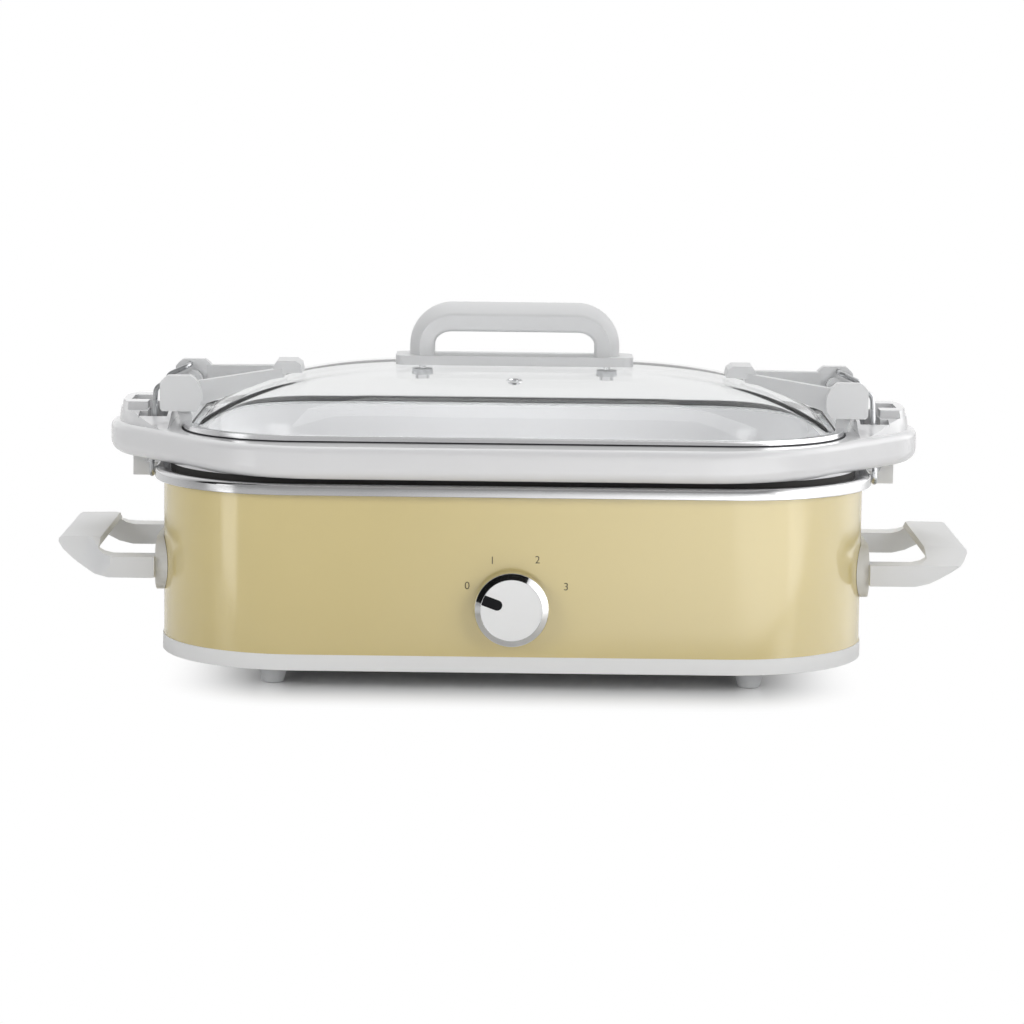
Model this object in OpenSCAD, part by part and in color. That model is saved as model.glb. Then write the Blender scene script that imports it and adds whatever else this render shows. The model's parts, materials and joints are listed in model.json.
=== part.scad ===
// Casserole slow cooker: heating base, stoneware crock and latched glass lid.
// Origin at the centre of the floor under the feet, X along the length, -Y at the front.

/* [Housing] */
// Length of the painted housing
housing_l = 400; // [370:1:430]
// Depth of the painted housing, front to back
housing_w = 250; // [235:1:270]
// Corner radius of the housing in plan
housing_r = 80; // [74:1:86]
// Height of the painted wall
housing_h = 90; // [84:1:104]
// Thickness of the painted sheet
sheet = 1.2; // [0.8:0.1:1.6]
// Height of the rubber feet
foot_h = 11; // [8:1:16]
// Radius of a foot at the floor
foot_r = 6; // [4:0.5:9]
// Height of the tray band under the painted wall
tray_h = 9; // [6:1:14]
// Thickness of the tray floor
tray_floor = 2.5; // [2:0.5:4]
// Wall of the tray lip that enters the housing
lip_t = 2.4; // [1.6:0.2:3]
// Clearance of parts that slip into each other
slip = 0.3; // [0.2:0.05:0.5]

/* [Well and heater] */
// Distance from the housing outside to the well outside
well_gap = 12; // [11:0.5:14]
// Sheet thickness of the well
well_t = 1; // [0.8:0.1:1.4]
// Depth of the well below the trim
well_depth = 43; // [40:1:46]
// Height of the heater band
heater_h = 24; // [16:1:28]
// Thickness of the heater band
heater_t = 2.5; // [1.5:0.5:3.5]
// Thickness of the insulation wrap
wrap_t = 4; // [3:0.5:5]
// Radius of the studs that hold the tray to the well
stud_r = 2.5; // [2:0.25:3]
// Distance of the studs from the middle
stud_x = 90; // [70:1:110]

/* [Trim ring] */
// Height of the trim ring
trim_h = 6; // [5:0.5:8]
// Overhang of the trim ring past the housing
trim_over = 5; // [4:0.5:6]
// Rounding of the trim ring's outer edge
trim_round = 2.4; // [1:0.2:2.8]

/* [Crock] */
// Thickness of the stoneware wall
crock_t = 8; // [6:0.5:9]
// Clearance between crock and well
crock_gap = 3; // [2:0.5:4]
// Thickness of the stoneware floor
crock_floor = 8; // [6:0.5:10]
// Height of the open gap under the rim
rim_gap = 3; // [2:0.5:4]
// Height of the rim
rim_h = 18.5; // [16:0.5:22]
// Overhang of the rim past the housing at the front
rim_over = 13; // [11:0.5:16]
// Extra radius of the rim's corners over the housing's
rim_corner = 10; // [8:0.5:12]
// Reach of an ear past the housing end
ear_reach = 35; // [34:0.5:37]
// Rise of an ear above the rim
ear_rise = 7.5; // [5:0.5:9]
// Half width over which an ear rises out of the rim
rise_y = 64; // [62:0.5:66]
// Height of the thumb pad on an ear
pad_h = 4.5; // [3:0.5:6]
// Half width of the thumb pad
pad_y = 27; // [22:0.5:29]
// Rounding of the rim's upper edge
rim_top_r = 4; // [3:0.5:6]
// Rounding of the rim's lower edge
rim_low_r = 7; // [5:0.5:9]

/* [Lid] */
// Distance from the housing outside to the lid band outside
lid_inset = 11; // [10:0.5:12]
// Height of the steel band
band_h = 4; // [4:0.2:5]
// Sheet thickness of the band
band_t = 0.4; // [0.3:0.1:0.6]
// Width of the band's lips over the glass
band_lip = 5; // [4:0.5:6]
// Rise of the glass dome above the band
dome_h = 30.8; // [26:0.2:34]
// Thickness of the seal under the band
seal_t = 0.8; // [0.6:0.1:1.2]
// Depth of the lid's seat below the rim top
seat_depth = 1.4; // [1:0.1:2]
// Length of the handle's base plate
plate_l = 138; // [124:1:150]
// Width of the handle's base plate
plate_w = 30; // [26:1:36]
// Thickness of the handle's base plate
plate_t = 5.5; // [4:0.5:8]
// Length over the lid handle
grip_l = 122; // [110:1:126]
// Height of the lid handle above its plate
grip_h = 30.5; // [26:0.5:38]
// Thickness of the lid handle's bar
grip_t = 14.5; // [12:0.5:16]
// Depth of the lid handle's bar, front to back
grip_w = 26; // [20:0.5:28]
// Outer corner radius of the lid handle
grip_r = 21; // [18:0.5:26]
// Distance of the steam vent in front of the middle
vent_y = 63; // [50:1:72]
// Radius of the vent's bore
vent_r = 2.2; // [1.5:0.1:3]

/* [Latches] */
// Half width between the inner faces of a lever's hubs
hub_y = 45.3; // [45:0.1:47]
// Reach of a hub's corners from its pivot
hub_sweep = 13.2; // [12.8:0.1:13.4]
// Thickness of a lever hub
hub_t = 7.7; // [6:0.1:9]
// Pivot's distance outside the lid band
pivot_out = 2; // [1:0.25:3]
// Pivot's height above the band
pivot_up = 15.1; // [14.5:0.1:17]
// Radius of the pivot pin
pin_r = 2; // [1.6:0.1:2.4]
// Running clearance of pins and wires in their bores
run = 0.05; // [0.02:0.01:0.1]
// Throw of the wire about the pivot
throw = 9; // [8:0.25:9.5]
// Angle of the wire's bore about the pivot
throw_a = 75; // [65:1:85]
// Radius of the bail wire
wire_r = 1.5; // [1.2:0.1:1.7]
// Half distance between the bail's legs
leg_y = 36; // [34:0.5:36.5]
// Length of the lever from pivot to the end of its grip
lever_l = 68; // [60:1:72]
// Half width of the lever's grip
tab_y = 13; // [10:0.5:16]

/* [Handles and knob] */
// Half width over a side handle
handle_y = 74; // [68:1:80]
// Width of a side handle's arm
arm_w = 16; // [12:1:18]
// Reach of a side handle past the housing
handle_reach = 60; // [50:1:66]
// Height of a side handle's arm
arm_h = 12; // [10:0.2:14]
// Height of the arm's underside above the floor
arm_z = 54; // [50:1:60]
// Rise of the grip above the arm
grip_rise = 8.5; // [7:0.5:12]
// Half width of the grip's flat top
grip_y = 50; // [44:1:56]
// Depth of the grip in from its tip
grip_d = 24; // [20:0.5:26]
// Radius of the knob
knob_r = 21; // [18:0.2:24]
// Depth of the knob in front of the housing
knob_d = 11.6; // [11:0.1:11.8]
// Height of the knob's axis above the floor
knob_z = 48; // [46:1:50]
// Radius of the switch shaft
shaft_r = 3; // [2.5:0.1:3.2]
// Angle of the knob's pointer at rest
pointer_a = 160; // [150:1:170]
// Width of the pointer
pointer_w = 5.8; // [4:0.2:7]

/* [Hidden] */
$fn = 64;
tiny = 0.01;
half_l = housing_l / 2;
half_w = housing_w / 2;
tray_z = foot_h;
wall_z = tray_z + tray_h;
top_z = wall_z + housing_h;
trim_z = top_z + trim_h;
rim_z = trim_z + rim_gap;
rim_top = rim_z + rim_h;
foot_x = half_l - 66;
foot_y = half_w - 27;
lip_h = 6;

well_floor_z = top_z - well_depth;
crock_out = well_gap + well_t + crock_gap;
mouth_in = crock_out + crock_t;
crock_bottom = well_floor_z + well_t + 4;
crock_inside = crock_bottom + crock_floor;
wall_taper = 8;

rim_hw = half_w + rim_over;
rim_sin = 0.8;
rim_cos = 0.6;
rim_turn = asin(rim_sin);
corner_r = housing_r + rim_corner;
corner_x = half_l - corner_r - 6;
corner_y = rim_hw - corner_r;
ear_tip = half_l + ear_reach;
turn_x = corner_x + corner_r * rim_sin;
turn_y = corner_y + corner_r * rim_cos;
ear_r = (turn_x + turn_y * rim_cos / rim_sin - ear_tip) * rim_sin / (1 - rim_sin);
ear_x = ear_tip - ear_r;
ear_top = rim_top + ear_rise;
pad_out = ear_tip - 8;
rim_in = ear_reach + 7;

seat_z = rim_top - seat_depth;
band_z = seat_z + seal_t;
band_top = band_z + band_h;
lid_l = half_l - lid_inset;
lid_w = half_w - lid_inset;
lid_r = housing_r - lid_inset;
glass_in = lid_inset + band_t + 0.2;
glass_t = band_h - 2 * band_t;
glass_z = band_z + band_t;
dome_z = glass_z + glass_t;
apex_z = dome_z + dome_h;
plate_z = apex_z + 0.2;
grip_z = plate_z + plate_t;
screw_x = grip_l / 2 - grip_t / 2;
vent_share = vent_y / (half_w - glass_in - band_lip);
vent_z = dome(vent_share);
vent_tilt = atan(4 * dome_h * pow(vent_share, 3) / (half_w - glass_in - band_lip));
bolt_r = 2;

pivot_x = lid_l + pivot_out;
pivot_z = band_top + pivot_up;
bore_x = pivot_x + throw * cos(throw_a);
bore_z = pivot_z + throw * sin(throw_a);
leg_top_x = pivot_x + 14.8;
leg_x = pivot_x + 17.5;
bar_z = rim_z - 10.5;
hook_in = leg_x - wire_r - 1.1;
hook_out = leg_x + 13;
hook_y = 11;
hook_low = bar_z - 3.5;
hook_top = rim_z - 1.4;
slot_in = leg_top_x - 6.8;
slot_out = leg_x + wire_r + 1;
slot_y = leg_y + wire_r + 3;
pocket_out = slot_out + 4.5;
ear_inner = slot_in - 2;
pad_in = slot_out + 0.5;
lever_in = pivot_x - lever_l;
tab_l = 17;
tab_top = dome(lever_in / (half_l - glass_in - band_lip)) + 7.5;
shoulder_z = pivot_z + 3;
bend_r = 3.5;
ear_t = 5;
ear_y = hub_y - 0.8 - ear_t;

handle_tip = half_l + handle_reach;
handle_z = arm_z + arm_h / 2;
plate_gap = 0.2;
plate_face = half_l + plate_gap + 3;
knob_y = half_w + 1.2;
face_r = knob_r - 4;
bushing_r = 4.8;

painted = "#cfbf8a";
white_plastic = "#e4e5e6";
stoneware = "#e2e2e4";
steel = "#c9ccce";
zinc = "#9b9ea1";
black = "#26272a";

// Plan outline of a rounded rectangle from its half sizes
module rounded_rect(l, w, r) {
    square([2 * l, 2 * (w - r)], center = true);
    square([2 * (l - r), 2 * w], center = true);
    for (x = [-1, 1], y = [-1, 1]) translate([x * (l - r), y * (w - r)]) circle(r);
}

// The housing's outline, moved outwards by d
module outline(d) {
    rounded_rect(half_l + d, half_w + d, housing_r + d);
}

// Sweeps a profile round the housing's outline moved outwards by d: profile x is outwards, y is up
module swept(d) {
    l = half_l + d;
    w = half_w + d;
    r = housing_r + d;
    for (a = [0, 180]) rotate(a) {
        translate([l, w - r, 0]) rotate([90, 0, 0]) linear_extrude(2 * (w - r)) children();
        translate([l - r, w - r, 0]) rotate_extrude(angle = 90) translate([r, 0]) children();
        rotate(90) translate([w, l - r, 0]) rotate([90, 0, 0]) linear_extrude(2 * (l - r)) children();
        translate([-(l - r), w - r, 0]) rotate(90) rotate_extrude(angle = 90) translate([r, 0]) children();
    }
}

module slab(d, z0, z1) {
    translate([0, 0, z0]) linear_extrude(z1 - z0) outline(d);
}

// A cylinder along Y from y0 to y1
module rod_y(x, z, r, y0, y1) {
    translate([x, y0, z]) rotate([-90, 0, 0]) cylinder(r = r, h = y1 - y0);
}

// A cylinder along X from x0 to x1
module rod_x(y, z, r, x0, x1) {
    translate([x0, y, z]) rotate([0, 90, 0]) cylinder(r = r, h = x1 - x0);
}

// Extrudes an x-z profile along Y
module across(y0, y1) {
    translate([0, y1, 0]) rotate([90, 0, 0]) linear_extrude(y1 - y0) children();
}

// Extrudes a y-z profile along X
module along(x0, x1) {
    translate([x0, 0, 0]) rotate([90, 0, 90]) linear_extrude(x1 - x0) children();
}

module left() {
    mirror([1, 0, 0]) children();
}

// Painted sleeve with its holes for the switch, handles and cord
module housing() {
    color(painted) difference() {
        slab(0, wall_z, top_z);
        slab(-sheet, wall_z - 1, top_z + 1);
        rod_y(0, knob_z, bushing_r + slip, -half_w - 1, -half_w + sheet + 1);
        rod_y(cord_x, cord_z, cord_r + 1.5, half_w - sheet - 1, half_w + 1);
        for (y = [-1, 1]) rod_x(y * arm_mid, handle_z, bolt_r + slip, -half_l - 1, half_l + 1);
    }
}

cord_x = half_l - 110;
cord_z = wall_z + 16;
cord_r = 4;
arm_mid = handle_y - arm_w / 2;

// Moulded tray that closes the bottom, with vents and foot sockets
module base_tray() {
    color(white_plastic) difference() {
        union() {
            slab(0.6, tray_z, tray_z + tray_floor);
            swept(0) translate([-lip_t - sheet, tray_z]) square([lip_t + sheet + 0.6, tray_h]);
            swept(-sheet - slip) translate([-lip_t, tray_z]) square([lip_t, tray_h + lip_h]);
            for (x = [-1, 1]) translate([x * stud_x, 0, tray_z]) cylinder(r = stud_r + 4, h = tray_floor + 3);
            for (x = [-1, 0, 1]) translate([x * (stud_x + 30) - 1, -half_w + 20, tray_z + tray_floor - tiny])
                cube([2, 2 * half_w - 40, 3]);
        }
        for (x = [-1, 1]) {
            translate([x * stud_x, 0, tray_z - 1]) cylinder(r = stud_r + slip, h = tray_floor + 6);
            for (i = [-3:3], y = [-1, 1]) translate([x * 45 + i * 7 - 1.5, y * 55 - 14, tray_z - 1])
                cube([3, 28, tray_floor + 2]);
        }
        for (x = [-1, 1], y = [-1, 1]) translate([x * foot_x, y * foot_y, tray_z - 1])
            cylinder(r = foot_r - 2 + slip, h = tray_floor + 2);
    }
}

// Four tapered rubber feet with a plug into the tray
module feet() {
    color("#c9cbcc") for (x = [-1, 1], y = [-1, 1]) translate([x * foot_x, y * foot_y, 0]) {
        cylinder(r1 = foot_r, r2 = foot_r + 3, h = tray_z);
        translate([0, 0, tray_z - tiny]) cylinder(r = foot_r - 2, h = tray_floor + tiny);
    }
}

// Polished ring over the joint of housing and well
module top_trim_ring() {
    color(steel) swept(0) {
        translate([-well_gap - well_t + 2, top_z + well_t])
            square([well_gap + well_t - 2 + trim_over - trim_round, trim_h - well_t]);
        translate([trim_over - trim_round - tiny, top_z - 0.4])
            square([trim_round + tiny, trim_h + 0.4 - trim_round]);
        translate([trim_over - trim_round, trim_z - trim_round]) circle(trim_round);
    }
}

// Formed well with a flange over the housing's edge
module heating_well() {
    color(zinc) difference() {
        union() {
            slab(-well_gap, well_floor_z, top_z + well_t);
            slab(trim_over - trim_round - 0.2, top_z, top_z + well_t);
        }
        slab(-well_gap - well_t, well_floor_z + well_t, top_z + well_t + 1);
        for (x = [-1, 1]) translate([x * stud_x, 0, well_floor_z - 1]) cylinder(r = stud_r + run, h = well_t + 2);
    }
}

// Band heater wrapped round the well's wall
module heater_band() {
    color("#b8a98c") swept(-well_gap) translate([slip, well_floor_z + 6]) square([heater_t, heater_h]);
}

// Fibre wrap between the heater and the housing
module insulation_wrap() {
    color("#efe9d8") swept(-well_gap) translate([2 * slip + heater_t, well_floor_z + 3])
        square([wrap_t, heater_h + 6]);
}

// Headed studs that tie the tray to the well
module well_studs() {
    color(steel) for (x = [-1, 1]) translate([x * stud_x, 0, 0]) {
        translate([0, 0, tray_z - 5]) cylinder(r = stud_r, h = well_floor_z + well_t - tray_z + 5);
        translate([0, 0, well_floor_z + well_t]) cylinder(r = stud_r + 2.5, h = 1.5);
    }
}

// Hexagon nuts on the studs under the tray
module stud_nuts() {
    color(steel) for (x = [-1, 1]) translate([x * stud_x, 0, tray_z - 4]) difference() {
        cylinder(r = stud_r + 2.3, h = 4, $fn = 6);
        translate([0, 0, -1]) cylinder(r = stud_r + run, h = 6);
    }
}

// Rotary switch behind the front wall, with its threaded bushing
module selector_switch() {
    color(black) difference() {
        union() {
            translate([-16, -half_w + sheet, knob_z - 14]) cube([32, 20, 28]);
            rod_y(0, knob_z, bushing_r, -half_w - 4, -half_w + sheet + 1);
            for (x = [-9, 0, 9]) translate([x - 2.4, -half_w + sheet + 20 - tiny, knob_z - 8]) cube([4.8, 8, 0.8]);
        }
        rod_y(0, knob_z, shaft_r + run, -half_w - 5, -half_w + sheet + 12);
    }
}

// Nut that clamps the switch to the housing
module switch_nut() {
    color(steel) difference() {
        translate([0, -half_w, knob_z]) rotate([90, 0, 0]) cylinder(r = bushing_r + 3, h = 2.6, $fn = 6);
        rod_y(0, knob_z, bushing_r + run, -half_w - 4, -half_w + 1);
    }
}

// Thermal cut-out clipped under the well
module thermal_fuse() {
    color("#d8d2b8") rod_x(fuse_y, well_floor_z - 2.4, 2, -9, 9);
}

fuse_y = -30;

module fuse_clip() {
    color(zinc) difference() {
        union() {
            translate([-4, fuse_y - 12, well_floor_z - 1]) cube([8, 11, 1]);
            rod_x(fuse_y, well_floor_z - 2.4, 3, -4, 4);
        }
        rod_x(fuse_y, well_floor_z - 2.4, 2 + run, -5, 5);
        translate([-5, fuse_y - 5, well_floor_z]) cube([10, 10, 5]);
        translate([-5, fuse_y + 0.5, well_floor_z - 3]) cube([10, 5, 5]);
    }
}

// Bushing for the supply cord in the rear wall
module cord_grommet() {
    color(black) difference() {
        union() {
            rod_y(cord_x, cord_z, cord_r + 1.5 - run, half_w - sheet - 3, half_w + 1);
            rod_y(cord_x, cord_z, cord_r + 4, half_w, half_w + 3);
            rod_y(cord_x, cord_z, cord_r + 3, half_w - sheet - 3, half_w - sheet);
        }
        rod_y(cord_x, cord_z, cord_r, half_w - sheet - 4, half_w + 4);
    }
}

// Oval plate between the housing and a side handle
module right_handle_plate() {
    color(white_plastic) difference() {
        along(half_l - 30, plate_face) translate([0, handle_z + 0.5]) rounded_rect(handle_y - 3, 15.2, 15.1);
        slab(plate_gap, 0, 200);
        for (y = [-1, 1]) rod_x(y * arm_mid, handle_z, bolt_r + slip, half_l - 60, half_l + 10);
    }
}

module left_handle_plate() {
    left() right_handle_plate();
}

// Side profile of a side handle: a level arm that sweeps up into the grip
module handle_profile() {
    t = handle_tip;
    low = arm_z;
    arm = arm_z + arm_h;
    top = arm + grip_rise;
    polygon([
        [half_l - 60, low], [t - 31, low], [t - 23, low + 1.9], [t - 17, low + 4.9], [t - 10.5, low + 8.6],
        [t - 3.3, low + 13.7], [t, low + 17.5], [t, top - 1.5], [t - 2, top - 0.4], [t - grip_d + 2, top],
        [t - grip_d, top - 0.6], [t - grip_d, top - 5.5], [t - grip_d - 3, arm + 1.2], [t - grip_d - 8, arm],
        [half_l - 60, arm]
    ]);
}

// Side profile of the room for fingers under the grip, between the arms
module grip_hollow() {
    t = handle_tip;
    top = arm_z + arm_h + grip_rise;
    polygon([
        [t - grip_d - 12, arm_z - 5], [t - grip_d - 12, top - 5], [t - grip_d, top - 5], [t - grip_d + 5, top - 6],
        [t - grip_d + 11, top - 8.2], [t - 6, top - 11.5], [t + 4, top - 13.4], [t + 4, arm_z - 5]
    ]);
}

// Slope at one end of a grip, from its top face down to the arm's outer side
module grip_slope() {
    arm = arm_z + arm_h;
    top = arm + grip_rise;
    polygon([
        [grip_y, top + 0.05], [handle_y + 1, arm - 0.3], [handle_y + 1, top + 5], [grip_y, top + 5]
    ]);
}

// Plan of a side handle: two arms and a grip across their ends
module handle_plan() {
    inner = handle_tip - grip_d;
    clear = handle_y - arm_w;
    difference() {
        rounded_rect(handle_tip, handle_y, 5);
        square([2 * inner, 2 * (clear - 8)], center = true);
        square([2 * (inner - 8), 2 * clear], center = true);
        for (x = [-1, 1], y = [-1, 1]) translate([x * (inner - 8), y * (clear - 8)]) circle(8);
    }
}

module right_side_handle() {
    color(white_plastic) difference() {
        intersection() {
            across(-handle_y, handle_y) handle_profile();
            linear_extrude(200) handle_plan();
        }
        translate([0, -half_w, 0]) cube([plate_face + 0.02, 2 * half_w, 200]);
        across(-handle_y + arm_w, handle_y - arm_w) grip_hollow();
        for (y = [0, 1]) mirror([0, y, 0]) along(handle_tip - grip_d - 9, handle_tip + 5) grip_slope();
        for (y = [-1, 1]) rod_x(y * arm_mid, handle_z, bolt_r + run, half_l - 60, half_l + 20);
    }
}

module left_side_handle() {
    left() right_side_handle();
}

// Two screws through the housing into the arms of each side handle
module handle_screws() {
    inside = half_l - 7.5;
    color(steel) for (s = [-1, 1], y = [-1, 1]) rotate(s > 0 ? 0 : 180) {
        rod_x(y * arm_mid, handle_z, bolt_r, inside, half_l + 17);
        rod_x(y * arm_mid, handle_z, bolt_r + 2, inside - 2.4, inside);
    }
}

// Shaft of the switch, which turns with the knob
module switch_shaft() {
    color(steel) difference() {
        rod_y(0, knob_z, shaft_r, -knob_y - knob_d + 4, -half_w + sheet + 11);
        translate([-5, -knob_y - knob_d + 3, knob_z + shaft_r - 1]) cube([10, 7, 5]);
    }
}

// Turned knob cup with a bevelled rim and a hub on the shaft
module knob_shell() {
    d = knob_d;
    color(steel) difference() {
        translate([0, -knob_y, knob_z]) rotate([90, 0, 0]) difference() {
            rotate_extrude() polygon([
                [0, 4], [0, d - 1.2], [face_r, d - 1.2], [face_r, d - 0.4], [face_r + 1, d], [face_r + 2, d],
                [knob_r - 0.5, d - 2.4], [knob_r, 0], [knob_r - 1.6, 0], [knob_r - 2, d - 4],
                [shaft_r + 3, d - 4], [shaft_r + 3, 4]
            ]);
            translate([0, 0, -1]) cylinder(r = shaft_r + run, h = d - 3 + run);
        }
    }
}

// White disc set in the knob
module knob_face() {
    color("#e3e4e4") difference() {
        rod_y(0, knob_z, face_r - run, -knob_y - knob_d + 0.5, -knob_y - knob_d + 1.2);
        pointer_cut(run);
    }
}

// Rounded bar from the rim of the face towards its middle
module pointer_cut(gap) {
    translate([0, -knob_y - knob_d + 1.2, knob_z]) rotate([90, 0, 0]) rotate(pointer_a) {
        translate([face_r - 8.4 - gap, -pointer_w / 2 - gap, -1]) cube([20, pointer_w + 2 * gap, 3]);
        translate([face_r - 8.4, 0, -1]) cylinder(r = pointer_w / 2 + gap, h = 3);
    }
}

module knob_pointer() {
    color(black) intersection() {
        rod_y(0, knob_z, face_r - run, -knob_y - knob_d + 0.6, -knob_y - knob_d + 1.2);
        pointer_cut(0);
    }
}

// Quarter turn of a profile, cut along the flank's normal: the part before it, or the part after it
module cut_turn(r, after) {
    reach = 2 * half_l;
    difference() {
        rotate_extrude(angle = 90) translate([r, 0]) children();
        rotate(90 - rim_turn) translate([-reach, after ? -reach : 0, -reach]) cube([2 * reach, reach, 2 * reach]);
    }
}

// Sweeps a profile round the rim's outline: profile x is outwards, y is up
module rim_swept() {
    flank = (turn_y - ear_r * rim_cos) / rim_sin;
    for (x = [0, 1], y = [0, 1]) mirror([x, 0, 0]) mirror([0, y, 0]) {
        translate([0, rim_hw, 0]) rotate([90, 0, 90]) linear_extrude(corner_x) children();
        translate([corner_x, corner_y, 0]) cut_turn(corner_r, true) children();
        translate([turn_x, turn_y, 0]) rotate(90 - rim_turn) rotate([90, 0, 0]) linear_extrude(flank) children();
        translate([ear_x, 0, 0]) cut_turn(ear_r, false) children();
    }
}

// Points of a quarter round about a centre, from angle a0 to a1
function quarter_round(x, z, r, a0, a1) = [for (i = [0:6]) let (a = a0 + (a1 - a0) * i / 6) [x + r * cos(a), z + r * sin(a)]];

// Section of the rim from its outline inwards
module rim_edge() {
    polygon(concat(
        [[-rim_in, rim_top]],
        quarter_round(-rim_top_r, rim_top - rim_top_r, rim_top_r, 90, 0),
        quarter_round(-rim_low_r, rim_z + rim_low_r, rim_low_r, 0, -90),
        [[-rim_in, rim_z]]
    ));
}

// Section of an ear's raised part
module raise_edge() {
    z = ear_top + pad_h + 1;
    polygon([[-rim_in, rim_top - 2], [-4.6, rim_top - 2], [-5.4, ear_top - 3], [-7, z], [-rim_in, z]]);
}

// Slots in an ear for the legs and hook of the bail
module ear_slots() {
    z0 = rim_z - 1;
    h = ear_rise + rim_h + pad_h + 3;
    translate([slot_in, -slot_y, z0]) cube([slot_out - slot_in, 2 * slot_y, h]);
    for (y = [-1, 1]) translate([slot_in, y * leg_y - 4.5, z0]) cube([pocket_out - slot_in, 9, h]);
    translate([slot_in, -hook_y - 0.8, z0]) cube([hook_out + 0.8 - slot_in, 2 * hook_y + 1.6, h]);
}

// Section of the pot from its floor to the lid's seat and the rim's inner part
module pot_section() {
    round = 10;
    foot = -wall_taper;
    seat = mouth_in - lid_inset + 1;
    ridge = seat + 6;
    step = 0.05;
    polygon(concat(
        [[0, rim_z + 6], [0, seat_z], [seat, seat_z], [seat, rim_top - step], [ridge, rim_top - step], [ridge, trim_z],
         [ridge - 7, trim_z], [ridge - 7, rim_z], [crock_t, rim_z], [crock_t + foot, crock_bottom + 5],
         [foot + 3, crock_bottom], [foot - round - 4, crock_bottom], [foot - round - 4, crock_inside],
         [foot - round, crock_inside]],
        [for (a = [75:-15:0]) [foot - round + round * cos(a), crock_inside + round - round * sin(a)]]
    ));
}

// Glazed stoneware pot with a wide rim
module crock() {
    color(stoneware) union() {
        swept(-mouth_in) pot_section();
        slab(-mouth_in - wall_taper - 12, crock_bottom, crock_inside);
        difference() {
            rim_swept() rim_edge();
            slab(-lid_inset + 4, rim_z - 5, rim_top + 20);
            for (s = [0, 1]) mirror([s, 0, 0]) translate([ear_inner, -half_l, 0]) cube([half_l, 2 * half_l, 2 * rim_top]);
        }
    }
}

// Ear at an end of the rim, one piece of stoneware with the pot, with the slots for the bail
module right_crock_ear() {
    color(stoneware) difference() {
        union() {
            rim_swept() rim_edge();
            ear_raise();
        }
        translate([ear_inner - 2 * ear_tip, -half_l, 0]) cube([2 * ear_tip, 2 * half_l, 2 * rim_top]);
        ear_slots();
    }
}

module left_crock_ear() {
    left() right_crock_ear();
}

// Raised ears with their thumb pads
module ear_raise() {
    intersection() {
        rim_swept() raise_edge();
        for (s = [0, 1]) mirror([s, 0, 0]) {
            along(ear_inner - 1, ear_tip) polygon([
                [-rise_y, rim_top - 1], [-rise_y + 14, rim_top + 2.2], [-rise_y + 26, ear_top - 1.4],
                [-rise_y + 34, ear_top], [rise_y - 34, ear_top], [rise_y - 26, ear_top - 1.4],
                [rise_y - 14, rim_top + 2.2], [rise_y, rim_top - 1]
            ]);
            along(pad_in, pad_out) polygon([
                [-pad_y, ear_top - 1], [-pad_y + 1, ear_top + pad_h], [pad_y - 1, ear_top + pad_h], [pad_y, ear_top - 1]
            ]);
        }
    }
}

// Height of the dome's outer face at a share t of the way to the edge
function dome(t) = dome_z + dome_h * (1 - pow(t, 4));

// Points of the glass outline, counter-clockwise
function glass_ring(t, z) = [
    for (q = [0:3], i = [0:6])
        let (l = half_l - glass_in - housing_r + glass_in, w = half_w - glass_in - housing_r + glass_in,
             r = housing_r - glass_in, sx = (q == 0 || q == 3) ? 1 : -1, sy = q < 2 ? 1 : -1, a = 90 * q + 15 * i)
        [t * (sx * l + r * cos(a)), t * (sy * w + r * sin(a)), z]
];

// Domed glass with a flat edge, the holes for the handle screws and the vent
module lid_glass() {
    n = 28;
    flat = 1 - band_lip / (half_w - glass_in);
    shares = [1, flat, for (i = [11:-1:1]) flat * i / 12];
    m = len(shares);
    top = [for (t = shares) each glass_ring(t, dome(min(1, t / flat)))];
    low = [for (t = shares) each glass_ring(t, dome(min(1, t / flat)) - glass_t)];
    centre = [[0, 0, apex_z], [0, 0, apex_z - glass_t]];
    k = m * n;
    faces = concat(
        [for (i = [0:m - 2], j = [0:n - 1]) let (a = i * n + j, b = i * n + (j + 1) % n)
            each [[a, a + n, b + n], [a, b + n, b]]],
        [for (i = [0:m - 2], j = [0:n - 1]) let (a = k + i * n + j, b = k + i * n + (j + 1) % n)
            each [[a, b + n, a + n], [a, b, b + n]]],
        [for (j = [0:n - 1]) let (a = (m - 1) * n + j, b = (m - 1) * n + (j + 1) % n)
            each [[a, 2 * k, b], [k + a, k + b, 2 * k + 1]]],
        [for (j = [0:n - 1]) let (b = (j + 1) % n) each [[j, b, k + b], [j, k + b, k + j]]]
    );
    color("#dfe7e8", 0.5) difference() {
        polyhedron(concat(top, low, centre), faces, 4);
        for (x = [-1, 1]) translate([x * screw_x, 0, apex_z - 15]) cylinder(r = bolt_r + 0.8, h = 20);
        translate([0, -vent_y, vent_z]) rotate([vent_tilt, 0, 0]) translate([0, 0, -15]) cylinder(r = vent_r + 1, h = 30);
    }
}

// Rolled steel channel round the glass
module lid_band() {
    color(steel) difference() {
        swept(-lid_inset) translate([-band_lip, band_z]) square([band_lip, band_h]);
        swept(-lid_inset) translate([-band_lip - 1, band_z + band_t]) square([band_lip + 1 - band_t, glass_t]);
    }
}

// Flat silicone seal between the band and the crock
module lid_gasket() {
    color("#8f9294") swept(-lid_inset) translate([-band_lip - 2, seat_z]) square([band_lip + 2, seal_t]);
}

// Steel eyelet of the steam vent
module vent_eyelet() {
    color(zinc) translate([0, -vent_y, vent_z]) rotate([vent_tilt, 0, 0]) difference() {
        union() {
            translate([0, 0, -glass_t - 1.2]) cylinder(r = vent_r + 0.8, h = glass_t + 1.8);
            translate([0, 0, 0.3]) cylinder(r = vent_r + 2.3, h = 0.5);
        }
        translate([0, 0, -glass_t - 3]) cylinder(r = vent_r, h = glass_t + 8);
    }
}

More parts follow.
